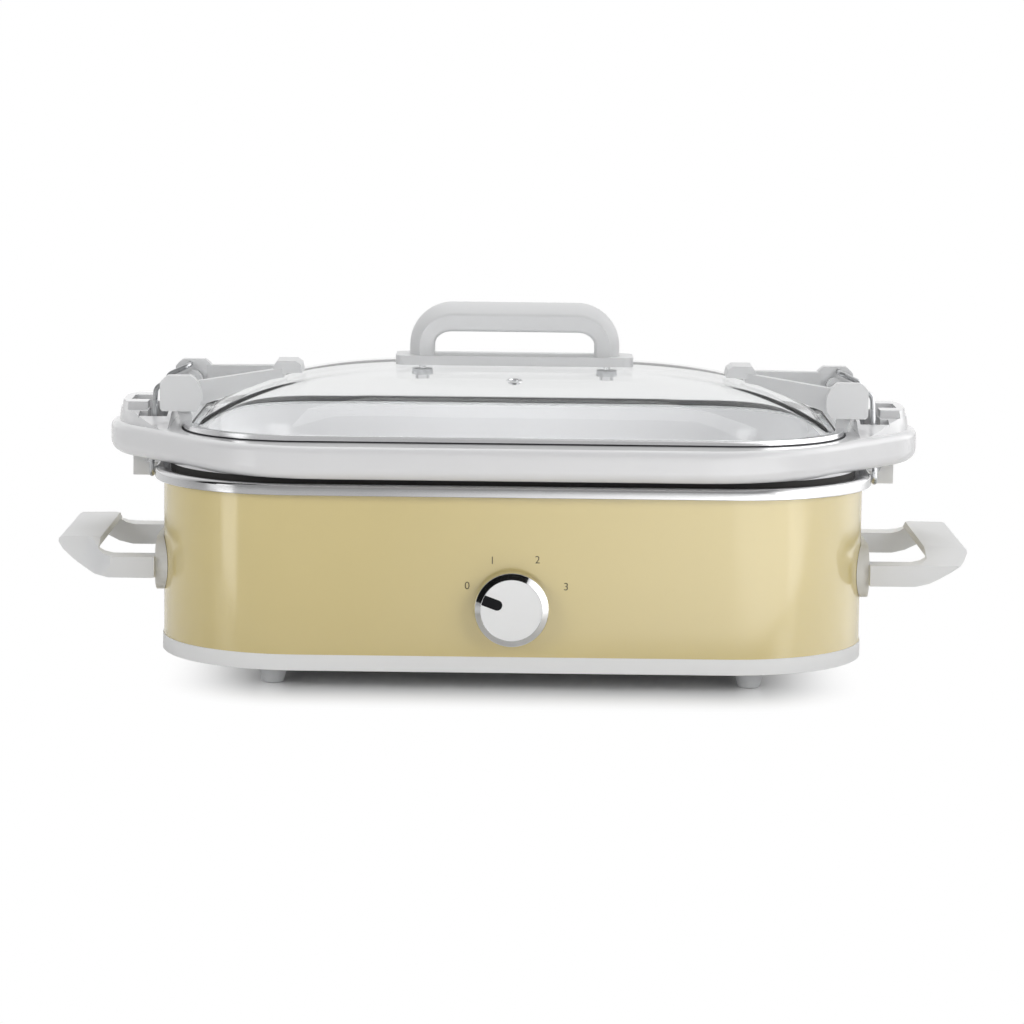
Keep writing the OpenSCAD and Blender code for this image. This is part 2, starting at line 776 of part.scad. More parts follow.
// Saddle plate between the glass and the handle
module lid_handle_plate() {
    color(white_plastic) difference() {
        translate([0, 0, plate_z]) linear_extrude(plate_t) rounded_rect(plate_l / 2, plate_w / 2, 6);
        for (x = [-1, 1]) translate([x * screw_x, 0, plate_z - 1]) cylinder(r = bolt_r + slip, h = plate_t + 2);
    }
}

// Bar section of the lid handle: x across the bar's thickness, y front to back
module grip_section() {
    rounded = grip_t / 2;
    square([grip_t, grip_w - 2 * rounded], center = true);
    for (y = [-1, 1]) translate([0, y * (grip_w / 2 - rounded)]) circle(rounded);
}

// Arched bar: two legs, two bends and a straight top
module lid_handle() {
    bend = grip_r - grip_t / 2;
    leg = grip_h - grip_r;
    span = grip_l - 2 * grip_r;
    color(white_plastic) difference() {
        union() {
            for (s = [0, 1]) mirror([s, 0, 0]) {
                translate([screw_x, 0, grip_z]) linear_extrude(leg) grip_section();
                translate([screw_x - bend, 0, grip_z + leg]) rotate([90, 0, 0]) rotate_extrude(angle = 90)
                    translate([bend, 0]) grip_section();
            }
            translate([-span / 2, 0, grip_z + leg + bend]) rotate([0, 90, 0]) linear_extrude(span) grip_section();
        }
        for (x = [-1, 1]) translate([x * screw_x, 0, grip_z - 1]) cylinder(r = bolt_r + run, h = 13);
    }
}

// Screws from under the glass into the handle's legs
module lid_handle_screws() {
    under = dome(screw_x / (half_l - glass_in)) - glass_t - 2.6;
    color(steel) for (x = [-1, 1]) translate([x * screw_x, 0, 0]) {
        translate([0, 0, under]) cylinder(r = bolt_r, h = grip_z + 11 - under);
        translate([0, 0, under - 2.4]) cylinder(r = bolt_r + 2.2, h = 2.4);
    }
}

// Soft washers between the screw heads and the glass
module lid_handle_washers() {
    under = dome(screw_x / (half_l - glass_in)) - glass_t - 2.6;
    color("#b9bbbd") for (x = [-1, 1]) translate([x * screw_x, 0, under]) difference() {
        cylinder(r = bolt_r + 4, h = 1.8);
        translate([0, 0, -1]) cylinder(r = bolt_r + run, h = 4);
    }
}

// Bracket on the end of the band with two ears for the pivot pin
module right_latch_bracket() {
    out = lid_l + 2.3;
    base = 3.1;
    color(white_plastic) difference() {
        union() {
            across(-ear_y - ear_t, ear_y + ear_t) {
                translate([lid_l - band_lip + 0.2, band_top]) square([out - lid_l + band_lip - 0.2, base]);
                translate([lid_l, band_top - 2.4]) square([out - lid_l, base + 2.4]);
            }
            for (s = [0, 1]) mirror([0, s, 0]) across(ear_y, ear_y + ear_t) {
                polygon([[lid_l - band_lip + 0.3, band_top + 1], [out, band_top + 1],
                         [pivot_x + 5, pivot_z - 2], [pivot_x - 5, pivot_z + 2]]);
                translate([pivot_x, pivot_z]) circle(pin_r + 3.3);
            }
        }
        rod_y(pivot_x, pivot_z, pin_r + run, -ear_y - ear_t - 1, ear_y + ear_t + 1);
    }
}

module left_latch_bracket() {
    left() right_latch_bracket();
}

module right_pivot_pin() {
    color(steel) rod_y(pivot_x, pivot_z, pin_r, -hub_y - hub_t + 1.2, hub_y + hub_t - 1.2);
}

module left_pivot_pin() {
    left() right_pivot_pin();
}

// Plan of a lever's arm, from the grip out to the hub
module arm_plan() {
    neck = lever_in + tab_l - 6;
    polygon([[neck, tab_y - 10], [neck, tab_y - 0.5], [pivot_x - 7, hub_y + hub_t - 0.2],
             [pivot_x - 4, hub_y + hub_t - 0.2], [pivot_x - 4, hub_y + 0.2], [pivot_x - 7.5, hub_y + 0.2]]);
}

// Side profile of a lever's arm above the dome
module arm_profile() {
    under = dome((lever_in + tab_l) / (half_l - glass_in - band_lip)) + 1.5;
    polygon([
        [lever_in + tab_l - 8, tab_top - 4], [lever_in + tab_l + 4, tab_top - 5], [pivot_x - 2, pivot_z + 7.5],
        [pivot_x - 2, pivot_z - 5], [pivot_x - 9, pivot_z - 7], [lever_in + tab_l + 1, under],
        [lever_in + tab_l - 8, under + 1]
    ]);
}

// Side profile of the finger grip
module tab_profile() {
    polygon([
        [lever_in, tab_top - 6.6], [lever_in + 1, tab_top - 2], [lever_in + 4, tab_top],
        [lever_in + tab_l - 2, tab_top], [lever_in + tab_l, tab_top - 3], [lever_in + tab_l, tab_top - 8.6],
        [lever_in + tab_l / 2, tab_top - 7]
    ]);
}

// Side profile of a hub
module hub_profile() {
    intersection() {
        translate([pivot_x - 13, pivot_z - 9]) square([24, 20.5]);
        translate([pivot_x, pivot_z]) circle(hub_sweep);
    }
}

// Yoke lever: two hubs, two arms that spread and a finger grip
module right_latch_lever() {
    color(white_plastic) difference() {
        union() {
            across(-tab_y, tab_y) tab_profile();
            for (s = [0, 1]) mirror([0, s, 0]) {
                across(hub_y, hub_y + hub_t) hub_profile();
                intersection() {
                    across(0, hub_y + hub_t) arm_profile();
                    translate([0, 0, band_z]) linear_extrude(dome_h + 20) arm_plan();
                }
            }
        }
        rod_y(pivot_x, pivot_z, pin_r + run, -hub_y - hub_t + 1, hub_y + hub_t - 1);
        rod_y(bore_x, bore_z, wire_r + run, -hub_y - hub_t + 1.5, hub_y + hub_t - 1.5);
    }
}

module left_latch_lever() {
    left() right_latch_lever();
}

// Points round a bend of radius r at b, between a and c
function bend(a, b, c, r) = let (
    u = (a - b) / norm(a - b), v = (c - b) / norm(c - b), half = acos(u * v) / 2, w = 180 - 2 * half,
    o = b + (u + v) / norm(u + v) * r / sin(half), p = b + u * r / tan(half) - o, q = b + v * r / tan(half) - o)
    [for (i = [0:4]) o + (p * sin((1 - i / 4) * w) + q * sin(i / 4 * w)) / sin(w)];

// Direction of a path at point i
function heading(p, i) = let (d = p[min(i + 1, len(p) - 1)] - p[max(i - 1, 0)]) d / norm(d);

// Side directions carried along a path without twist
function sides(p, i, n) = i == len(p) ? [] :
    let (t = heading(p, i), m = n - t * (n * t), k = m / norm(m)) concat([k], sides(p, i + 1, k));

// Round wire along a path
module wire(path, r) {
    n = 16;
    m = len(path);
    side = sides(path, 0, [0, 0, 1]);
    skin = [for (i = [0:m - 1], k = [0:n - 1]) let (a = 360 * k / n)
        path[i] + r * (side[i] * cos(a) + cross(heading(path, i), side[i]) * sin(a))];
    quads = [for (i = [0:m - 2], k = [0:n - 1]) let (a = i * n + k, b = i * n + (k + 1) % n) [a, a + n, b + n, b]];
    ends = [[for (k = [0:n - 1]) k], [for (k = [n - 1:-1:0]) (m - 1) * n + k]];
    polyhedron(skin, concat(quads, ends), 4);
}

// Half of the bail: an end in the lever's bore, a shoulder, a leg and half of the bar
function bail_half() = let (
    e = [bore_x, hub_y + hub_t - 2.5, bore_z], a = [bore_x, leg_y, bore_z], b = [leg_top_x, leg_y, shoulder_z],
    c = [leg_x, leg_y, bar_z], m = [leg_x, hook_y + 2, bar_z])
    concat([e], bend(e, a, b, bend_r), bend(a, b, c, bend_r + 1), bend(b, c, m, bend_r), [m]);

// Sprung wire bail
module right_bail_wire() {
    half = bail_half();
    n = len(half);
    color(zinc) wire(concat(half, [for (i = [n - 1:-1:0]) [half[i][0], -half[i][1], half[i][2]]]), wire_r);
}

module left_bail_wire() {
    left() right_bail_wire();
}

// Hook moulded on the bail's bar, under the ear
module right_bail_hook() {
    color(white_plastic) difference() {
        across(-hook_y, hook_y) polygon([
            [hook_in, hook_low], [hook_out, hook_low], [hook_out, hook_top], [hook_out - 5, hook_top],
            [hook_out - 8, bar_z + 4], [hook_in, bar_z + 4]
        ]);
        rod_y(leg_x, bar_z, wire_r + run, -hook_y - 1, hook_y + 1);
    }
}

module left_bail_hook() {
    left() right_bail_hook();
}

housing();
base_tray();
feet();
top_trim_ring();
heating_well();
heater_band();
insulation_wrap();
well_studs();
stud_nuts();
selector_switch();
switch_nut();
thermal_fuse();
fuse_clip();
cord_grommet();
left_handle_plate();
right_handle_plate();
left_side_handle();
right_side_handle();
handle_screws();
switch_shaft();
knob_shell();
knob_face();
knob_pointer();
crock();
left_crock_ear();
right_crock_ear();
lid_glass();
lid_band();
lid_gasket();
vent_eyelet();
lid_handle_plate();
lid_handle();
lid_handle_screws();
lid_handle_washers();
left_latch_bracket();
right_latch_bracket();
left_pivot_pin();
right_pivot_pin();
left_latch_lever();
right_latch_lever();
left_bail_wire();
right_bail_wire();
left_bail_hook();
right_bail_hook();
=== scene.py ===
"""Looks of the casserole slow cooker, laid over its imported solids.

The file has the layout of an add-on and is run as a script. Every piece is in metres and in the frame of
the solids.
"""

import json
import math

import bmesh
import bpy
import numpy as np
from mathutils import Matrix, Vector


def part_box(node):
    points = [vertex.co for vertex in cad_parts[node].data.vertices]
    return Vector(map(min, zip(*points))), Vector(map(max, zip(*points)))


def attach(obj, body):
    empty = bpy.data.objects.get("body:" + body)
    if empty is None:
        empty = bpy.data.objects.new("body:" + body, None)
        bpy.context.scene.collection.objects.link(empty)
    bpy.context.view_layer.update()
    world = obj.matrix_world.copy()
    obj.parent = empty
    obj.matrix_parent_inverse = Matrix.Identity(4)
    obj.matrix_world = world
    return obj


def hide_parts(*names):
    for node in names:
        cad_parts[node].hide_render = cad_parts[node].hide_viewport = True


bl_info = {
    "name": "Casserole slow cooker",
    "version": (1, 0, 0),
    "blender": (4, 5, 0),
    "location": "View3D > Sidebar > Slow cooker",
    "description": "Dresses the cooker's solids with its finishes, lid glass, handles, dial print and studio",
    "category": "Object",
}

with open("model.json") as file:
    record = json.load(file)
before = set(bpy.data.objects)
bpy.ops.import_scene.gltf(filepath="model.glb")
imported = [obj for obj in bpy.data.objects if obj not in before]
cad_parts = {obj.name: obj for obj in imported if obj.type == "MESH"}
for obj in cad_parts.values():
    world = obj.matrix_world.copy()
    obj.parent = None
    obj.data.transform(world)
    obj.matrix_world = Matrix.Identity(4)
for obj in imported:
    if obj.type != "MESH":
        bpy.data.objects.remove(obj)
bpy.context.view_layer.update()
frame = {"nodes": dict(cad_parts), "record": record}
RECORD = frame["record"]
BODY_OF = {node: body for body, nodes in RECORD["behaviour"]["bodies"].items() for node in nodes}
SLOT_OF = {part["node"]: part["material_slot"] for part in RECORD["subparts"]}

# Points of a solid that are closer than this are one point
MERGE = 4e-6
# Faces that differ by less than this many degrees are one flat face
FLAT = 0.4
# Edges sharper than this many degrees are rounded, in this many steps
CRISP = 32.0
BEVEL_STEPS = 3
# Beside rounded edges, shading breaks over edges sharper than this many degrees
ROUNDED_CRISP = 50.0
# Corner radius of the housing
HOUSING_CORNER = 0.080
# Height of the dial's axis
DIAL_HEIGHT = 0.048
# Height of the glaze's lower edge on the outside of the crock; below it, faces that look out or down are
# painted near black as shade under the rim
GLAZE_AND_SHADE_LINE = 0.1188
# Flat margin of the lid glass that the band holds
GLASS_MARGIN = 0.005


class CookerSizes(bpy.types.PropertyGroup):
    """Sizes of the shapes that are made here"""

    moulded_edge: bpy.props.FloatProperty(
        name="Moulded edge", description="Rounding on the edges of the white mouldings", default=0.0012,
        min=0.0, unit="LENGTH")
    grip_edge: bpy.props.FloatProperty(
        name="Grip edge", description="Rounding on the edges of the side handles", default=0.0018,
        min=0.0, unit="LENGTH")
    glazed_edge: bpy.props.FloatProperty(
        name="Glazed edge", description="Rounding on the edges of the stoneware", default=0.0022,
        min=0.0, unit="LENGTH")
    metal_edge: bpy.props.FloatProperty(
        name="Metal edge", description="Rounding on the edges of sheet and turned metal", default=0.0003,
        min=0.0, unit="LENGTH")
    glass_half_length: bpy.props.FloatProperty(
        name="Glass half length", description="Half of the lid glass along the cooker", default=0.1884,
        unit="LENGTH")
    glass_half_width: bpy.props.FloatProperty(
        name="Glass half width", description="Half of the lid glass across the cooker", default=0.1134,
        unit="LENGTH")
    glass_corner: bpy.props.FloatProperty(
        name="Glass corner", description="Corner radius of the lid glass", default=0.0684, unit="LENGTH")
    glass_edge_height: bpy.props.FloatProperty(
        name="Glass edge height", description="Height of the glass where the band holds it", default=0.1405,
        unit="LENGTH")
    dome_rise: bpy.props.FloatProperty(
        name="Dome rise", description="Rise of the glass from its edge to its middle", default=0.0308,
        unit="LENGTH")
    glass_thickness: bpy.props.FloatProperty(
        name="Glass thickness", description="Thickness of the lid glass", default=0.0032, unit="LENGTH")
    grip_width: bpy.props.FloatProperty(
        name="Grip width", description="Front to back width of the lid handle at its crease", default=0.026,
        unit="LENGTH")
    numeral_height: bpy.props.FloatProperty(
        name="Numeral height", description="Height of the numbers round the dial", default=0.0042,
        unit="LENGTH")


class CookerColours(bpy.types.PropertyGroup):
    """Colours of the finishes"""

    paint: bpy.props.FloatVectorProperty(
        name="Paint", description="Cream paint of the housing", subtype="COLOR", size=3,
        default=(0.700, 0.570, 0.235), min=0.0, max=1.0)
    plastic: bpy.props.FloatVectorProperty(
        name="Plastic", description="White mouldings", subtype="COLOR", size=3,
        default=(0.76, 0.765, 0.77), min=0.0, max=1.0)
    glaze: bpy.props.FloatVectorProperty(
        name="Glaze", description="White glaze of the crock", subtype="COLOR", size=3,
        default=(0.78, 0.78, 0.79), min=0.0, max=1.0)
    chrome: bpy.props.FloatVectorProperty(
        name="Chrome", description="Trim ring, lid band and dial", subtype="COLOR", size=3,
        default=(0.80, 0.80, 0.81), min=0.0, max=1.0)
    print_ink: bpy.props.FloatVectorProperty(
        name="Print", description="Numbers printed round the dial", subtype="COLOR", size=3,
        default=(0.085, 0.07, 0.04), min=0.0, max=1.0)


class Flow:
    """A value or colour in a node tree. Arithmetic on values adds Math nodes to the same tree."""

    def __init__(self, bench, socket):
        self.bench = bench
        self.socket = socket

    def _math(self, operation, a, b):
        return self.bench.node("ShaderNodeMath", {"operation": operation}, {0: a, 1: b})

    def __add__(self, other):
        return self._math("ADD", self, other)

    def __radd__(self, other):
        return self._math("ADD", other, self)

    def __sub__(self, other):
        return self._math("SUBTRACT", self, other)

    def __rsub__(self, other):
        return self._math("SUBTRACT", other, self)

    def __mul__(self, other):
        return self._math("MULTIPLY", self, other)

    def __rmul__(self, other):
        return self._math("MULTIPLY", other, self)

    def __truediv__(self, other):
        return self._math("DIVIDE", self, other)

    def __pow__(self, other):
        return self._math("POWER", self, other)

    def unsigned(self):
        """The value without its sign"""
        return self._math("ABSOLUTE", self, 0.0)

    def at_most(self, other):
        """The smaller of two values"""
        return self._math("MINIMUM", self, other)

    def at_least(self, other):
        """The larger of two values"""
        return self._math("MAXIMUM", self, other)

    def part(self, name):
        """Another output of the node that this value comes from"""
        return Flow(self.bench, self.socket.node.outputs[name])


class Bench:
    """Builds one node tree. The method node adds any node from its type, settings and inputs."""

    def __init__(self, tree):
        self.tree = tree
        tree.nodes.clear()

    def node(self, kind, settings=None, inputs=None, out=0):
        """Adds a node, sets it, feeds its inputs and returns one of its outputs as a Flow"""
        node = self.tree.nodes.new(kind)
        for key, value in (settings or {}).items():
            setattr(node, key, value)
        for key, value in (inputs or {}).items():
            if isinstance(value, Flow):
                self.tree.links.new(value.socket, node.inputs[key])
            else:
                node.inputs[key].default_value = value
        return Flow(self, node.outputs[out]) if len(node.outputs) else node

    def place(self):
        """Object coordinates, which are metres in the frame of the solids"""
        return self.node("ShaderNodeTexCoord", out="Object")

    def split(self, vector):
        """The X of a vector. Its Y and Z are other parts of the same node."""
        return self.node("ShaderNodeSeparateXYZ", None, {"Vector": vector})

    def noise(self, scale, detail, stretch=(1.0, 1.0, 1.0)):
        """Noise of a given number of waves to the metre, stretched along the axes"""
        where = self.node("ShaderNodeMapping", {"vector_type": "POINT"},
                          {"Vector": self.place(), "Scale": stretch})
        return self.node("ShaderNodeTexNoise", None, {"Vector": where, "Scale": scale, "Detail": detail})

    def mix(self, share, a, b):
        """Colour a where share is 0 and b where it is 1"""
        return self.node("ShaderNodeMix", {"data_type": "RGBA"}, {0: share, 6: a, 7: b}, out=2)

    def ramp(self, value, start, end, low=0.0, high=1.0, kind="SMOOTHSTEP"):
        """A value that goes from low to high between start and end"""
        return self.node("ShaderNodeMapRange", {"interpolation_type": kind},
                         {"Value": value, "From Min": start, "From Max": end, "To Min": low, "To Max": high})

    def seen(self):
        """1 for what the camera sees directly or through clear glass, 0 for light scattered before"""
        path = self.node("ShaderNodeLightPath", out="Is Camera Ray")
        through = path.part("Is Transmission Ray") * (1.0 - path.part("Diffuse Depth").at_most(1.0))
        return path.at_least(through)

    def bump(self, height, depth):
        """Normal of a surface whose relief is height times depth, in metres"""
        return self.node("ShaderNodeBump", None, {"Height": height, "Distance": depth, "Strength": 1.0})

    def surface(self, constants, varied):
        """Principled surface: constants are set on its sockets, varied values are linked"""
        return self.node("ShaderNodeBsdfPrincipled", None, {**constants, **varied})

    def glow(self, colour):
        """Surface that gives off a colour of its own"""
        return self.node("ShaderNodeEmission", None, {"Color": colour, "Strength": 1.0})

    def show(self, shader):
        """Sends a shader to the material's output"""
        self.node("ShaderNodeOutputMaterial", None, {"Surface": shader})


def grey(level):
    """A grey as four numbers"""
    return (level, level, level, 1.0)


def shade(colour, amount):
    """A colour made darker or lighter by a factor"""
    return tuple(min(1.0, channel * amount) for channel in colour[:3]) + (1.0,)


def new_bench(name):
    """An empty material with its bench"""
    material = bpy.data.materials.new(name)
    material.use_nodes = True
    return material, Bench(material.node_tree)


def paint_finish(name, colours):
    """Stove enamel: even cream with a faint drift of tone, fine orange peel and a clear gloss"""
    material, bench = new_bench(name)
    drift = bench.noise(7.0, 3.0)
    peel = bench.noise(620.0, 1.5)
    tone = bench.mix(drift, shade(colours.paint, 0.97), shade(colours.paint, 1.03))
    bench.show(bench.surface(
        {"Coat Roughness": 0.12, "Coat IOR": 1.9, "Specular IOR Level": 0.5},
        {"Base Color": tone, "Roughness": 0.36 + 0.08 * drift, "Coat Weight": 0.9 + 0.1 * drift,
         "Normal": bench.bump(peel, 0.00001)}))
    return material


def plastic_finish(name, colours, painted_lift=1.0):
    """Moulded plastic: near white, fine spark texture, small changes of sheen"""
    material, bench = new_bench(name)
    drift = bench.noise(9.0, 2.0)
    spark = bench.noise(1900.0, 2.0)
    # a factor above 1 gives a lighter copy of the same moulding, which is painted light
    tone = bench.mix(drift, shade(colours.plastic, 0.985 * painted_lift), shade(colours.plastic, 1.01 * painted_lift))
    bench.show(bench.surface(
        {"Specular IOR Level": 0.45},
        {"Base Color": tone, "Roughness": 0.34 + 0.12 * drift + 0.05 * spark,
         "Normal": bench.bump(spark, 0.000008)}))
    return material


def glaze_finish(name, colours):
    """Stoneware glaze: white with faint clouds under a glossy wavy coat. Where the mesh's face attribute
    marks faces below the rim, the stoneware is unglazed and dull, and its colour is painted near black as the
    shade in the gap under the rim."""
    material, bench = new_bench(name)
    cloud = bench.noise(14.0, 4.0)
    wave = bench.noise(55.0, 1.0)
    unglazed_and_shaded = bench.node("ShaderNodeAttribute", {"attribute_name": "under_rim_shade"}, out="Fac")
    glazed = bench.mix(cloud, shade(colours.glaze, 0.985), shade(colours.glaze, 1.015))
    # painted shade: below the rim the unglazed stoneware is near black, standing for the shadow in the gap
    # above the trim ring
    clay_painted_dark = bench.mix(cloud, (0.030, 0.029, 0.028, 1.0), (0.050, 0.048, 0.046, 1.0))
    bench.show(bench.surface(
        {"Coat Roughness": 0.04, "Coat IOR": 1.5, "Specular IOR Level": 0.4},
        {"Base Color": bench.mix(unglazed_and_shaded, glazed, clay_painted_dark), "Roughness": 0.30 + 0.1 * cloud + 0.45 * unglazed_and_shaded,
         "Coat Weight": (1.0 - unglazed_and_shaded) * (0.9 + 0.1 * cloud), "Normal": bench.bump(wave, 0.00006)}))
    return material


def bright_metal_finish(name, colour, rough, streak, waves):
    """Bright metal: drawn along the cooker, with faint streaks in its gloss"""
    material, bench = new_bench(name)
    drawn = bench.noise(waves, 3.0, (0.12, 0.12, 1.0))
    haze = bench.noise(24.0, 2.0)
    tone = bench.mix(haze, shade(colour, 0.96), shade(colour, 1.03))
    bench.show(bench.surface(
        {"Metallic": 1.0},
        {"Base Color": tone, "Roughness": rough + streak * drawn + 0.03 * haze,
         "Normal": bench.bump(drawn, 0.000002)}))
    return material


def rubber_finish(name, colour):
    """Soft rubber or silicone: dull, with a fine grain and a dusty drift"""
    material, bench = new_bench(name)
    dust = bench.noise(60.0, 4.0)
    grain = bench.noise(2400.0, 2.0)
    tone = bench.mix(dust, shade(colour, 0.92), shade(colour, 1.06))
    bench.show(bench.surface(
        {"Specular IOR Level": 0.3},
        {"Base Color": tone, "Roughness": 0.62 + 0.2 * dust, "Normal": bench.bump(grain, 0.00002)}))
    return material


def black_finish(name):
    """Black moulding: satin, with a fine spark grain"""
    material, bench = new_bench(name)
    drift = bench.noise(40.0, 2.0)
    spark = bench.noise(1600.0, 2.0)
    tone = bench.mix(drift, (0.006, 0.006, 0.008, 1.0), (0.012, 0.012, 0.014, 1.0))
    bench.show(bench.surface(
        {"Specular IOR Level": 0.15},
        {"Base Color": tone, "Roughness": 0.36 + 0.15 * drift, "Normal": bench.bump(spark, 0.00001)}))
    return material


def fibre_finish(name, colour):
    """Fibre felt or plain ceramic: pale, dull, with matted fibres"""
    material, bench = new_bench(name)
    mat = bench.noise(420.0, 5.0, (1.0, 1.0, 3.0))
    tone = bench.mix(mat, shade(colour, 0.82), shade(colour, 1.08))
    bench.show(bench.surface(
        {"Specular IOR Level": 0.15},
        {"Base Color": tone, "Roughness": 0.85 + 0.1 * mat, "Normal": bench.bump(mat, 0.0004)}))
    return material


def ink_finish(name, colour):
    """Printed ink: thin, with slight gaps in its cover"""
    material, bench = new_bench(name)
    speck = bench.noise(2600.0, 3.0)
    tone = bench.mix(speck, shade(colour, 0.8), shade(colour, 1.25))
    bench.show(bench.surface(
        {"Specular IOR Level": 0.3},
        {"Base Color": tone, "Roughness": 0.45 + 0.15 * speck}))
    return material


def glass_finish(name):
    """Clear tempered glass, thin enough that it does not bend what is seen through it: the gloss is a coat
    with faint waves, and light for shadows passes straight through"""
    material, bench = new_bench(name)
    wave = bench.noise(22.0, 1.0)
    body = bench.surface(
        {"Transmission Weight": 1.0, "IOR": 1.01, "Base Color": (0.908, 0.912, 0.912, 1.0), "Coat IOR": 1.5,
         "Coat Roughness": 0.01},
        {"Roughness": 0.004 * wave, "Coat Weight": 0.20 + 0.06 * wave, "Normal": bench.bump(wave, 0.00001)})
    clear = bench.node("ShaderNodeBsdfTransparent", None, {"Color": (0.75, 0.755, 0.755, 1.0)})
    shadow = bench.node("ShaderNodeLightPath", out="Is Shadow Ray")
    bench.show(bench.node("ShaderNodeMixShader", None, {0: shadow, 1: body, 2: clear}))
    return material


def make_finishes(colours):
    """One finish for each material slot of the record, and some for single pieces"""
    return {
        "painted_wall": paint_finish("cream_paint", colours),
        "white_plastic": plastic_finish("white_moulding", colours),
        # painted light: a lighter copy of the white moulding for the tray and the dial face, brightened to
        # make up for the light they lack
        "plastic_painted_lighter": plastic_finish("moulding_painted_lighter", colours, 1.22),
        "foot_rubber": rubber_finish("foot_rubber", (0.80, 0.81, 0.82)),
        "polished_steel": bright_metal_finish("bright_steel", colours.chrome, 0.05, 0.05, 700.0),
        # painted shade: the trim ring takes a darker copy of the chrome, so that its reflections come out
        # greyer
        "trim": bright_metal_finish("trim_steel_painted_darker", shade(colours.chrome, 0.80), 0.07, 0.05, 700.0),
        "well_sheet": bright_metal_finish("well_sheet", (0.52, 0.53, 0.54), 0.34, 0.12, 300.0),
        "heater": bright_metal_finish("heater_foil", (0.50, 0.42, 0.30), 0.38, 0.1, 200.0),
        "fibre": fibre_finish("fibre_wrap", (0.78, 0.73, 0.62)),
        "plated_steel": bright_metal_finish("plated_steel", (0.56, 0.57, 0.58), 0.22, 0.1, 1200.0),
        "black_plastic": black_finish("black_moulding"),
        "fuse_body": fibre_finish("fuse_ceramic", (0.68, 0.64, 0.48)),
        "stoneware": glaze_finish("white_glaze", colours),
        "lid_glass": glass_finish("clear_glass"),
        "silicone": rubber_finish("silicone", (0.66, 0.67, 0.68)),
        # painted shadow: a near-black seal strip below the lid band stands for the shade in the gap between
        # band and rim
        "lip": rubber_finish("dark_lip", (0.030, 0.030, 0.033)),
        "edge_tape": rubber_finish("edge_tape", (0.36, 0.36, 0.36)),
        # painted light: the lid band takes a lighter copy of the chrome, so that it shows as a bright line
        "lid_band": bright_metal_finish("band_steel_painted_lighter", shade(colours.chrome, 1.12), 0.14, 0.06, 500.0),
        "print": ink_finish("dial_print", colours.print_ink),
    }


FINISHES = {}


def finish_of(slot):
    """The finish of a slot; all are made at the first call"""
    if not FINISHES:
        FINISHES.update(make_finishes(bpy.context.scene.cooker_colours))
    return FINISHES[slot]


def paint_nodes(*names, finish=None):
    """Gives solids that stay as they are the finish of their slot, or another"""
    for name in names:
        solid = frame["nodes"][name]
        for slot in solid.material_slots:
            slot.material = finish or finish_of(SLOT_OF[name])


def put_piece(mesh, body, slot, nodes=(), finish=None):
    """Puts a finished mesh in the scene at the origin, riding on a body and standing for solids"""
    piece = bpy.data.objects.new(mesh.name, mesh)
    bpy.context.scene.collection.objects.link(piece)
    mesh.materials.clear()
    mesh.materials.append(finish or finish_of(slot))
    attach(piece, body)
    if nodes:
        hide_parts(*nodes)
    return piece


def solid_shape(name):
    """A solid's mesh with its doubled points merged"""
    shape = bmesh.new()
    shape.from_mesh(frame["nodes"][name].data)
    bmesh.ops.remove_doubles(shape, verts=shape.verts, dist=MERGE)
    return shape


def rounded_mesh(shape, name, radius, crisp):
    """Mesh of a shape with flat faces made whole and edges sharper than an angle rounded"""
    bmesh.ops.dissolve_limit(shape, angle_limit=math.radians(FLAT), verts=shape.verts, edges=shape.edges)
    if radius > 0.0:
        limit = math.radians(crisp)
        sharp = [edge for edge in shape.edges if edge.is_manifold and edge.calc_face_angle() > limit]
        bmesh.ops.bevel(shape, geom=sharp, offset=radius, offset_type="OFFSET", segments=BEVEL_STEPS,
                        profile=0.5, affect="EDGES", clamp_overlap=True)
    mesh = bpy.data.meshes.new(name)
    shape.to_mesh(mesh)
    shape.free()
    smooth_faces(mesh, ROUNDED_CRISP if radius > 0.0 else crisp)
    return mesh


def even_normals(piece):
    """Keeps flat faces flat beside rounded edges"""
    even = piece.modifiers.new("even_normals", "WEIGHTED_NORMAL")
    even.keep_sharp = True
    even.weight = 60


def soften(name, radius, finish=None):
    """Puts a copy of a solid with rounded edges in its place"""
    mesh = rounded_mesh(solid_shape(name), name + "_dressed", radius, CRISP)
    even_normals(put_piece(mesh, BODY_OF[name], SLOT_OF[name], [name], finish))


def built_mesh(holder):
    """Mesh of an object as its modifiers or its text leave it"""
    bpy.context.view_layer.update()
    graph = bpy.context.evaluated_depsgraph_get()
    return bpy.data.meshes.new_from_object(holder.evaluated_get(graph))


def cut_away(shape, cutters):
    """A shape less some closed meshes, which are used up"""
    mesh = bpy.data.meshes.new("uncut")
    shape.to_mesh(mesh)
    shape.free()
    block = bpy.data.objects.new("uncut", mesh)
    bpy.context.scene.collection.objects.link(block)
    tools = []
    for cutter in cutters:
        tool = bpy.data.objects.new("cutter", cutter)
        bpy.context.scene.collection.objects.link(tool)
        tools.append(tool)
        cut = block.modifiers.new("cut", "BOOLEAN")
        cut.operation = "DIFFERENCE"
        cut.solver = "EXACT"
        cut.object = tool
    result = built_mesh(block)
    left = bmesh.new()
    left.from_mesh(result)
    bmesh.ops.remove_doubles(left, verts=left.verts, dist=MERGE)
    for item in [block, *tools]:
        spent = item.data
        bpy.data.objects.remove(item)
        bpy.data.meshes.remove(spent)
    bpy.data.meshes.remove(result)
    return left


def smooth_faces(mesh, crisp):
    """Shades faces smooth, except over edges sharper than the given angle"""
    mesh.polygons.foreach_set("use_smooth", np.ones(len(mesh.polygons), dtype=bool))
    mesh.set_sharp_from_angle(angle=math.radians(crisp))


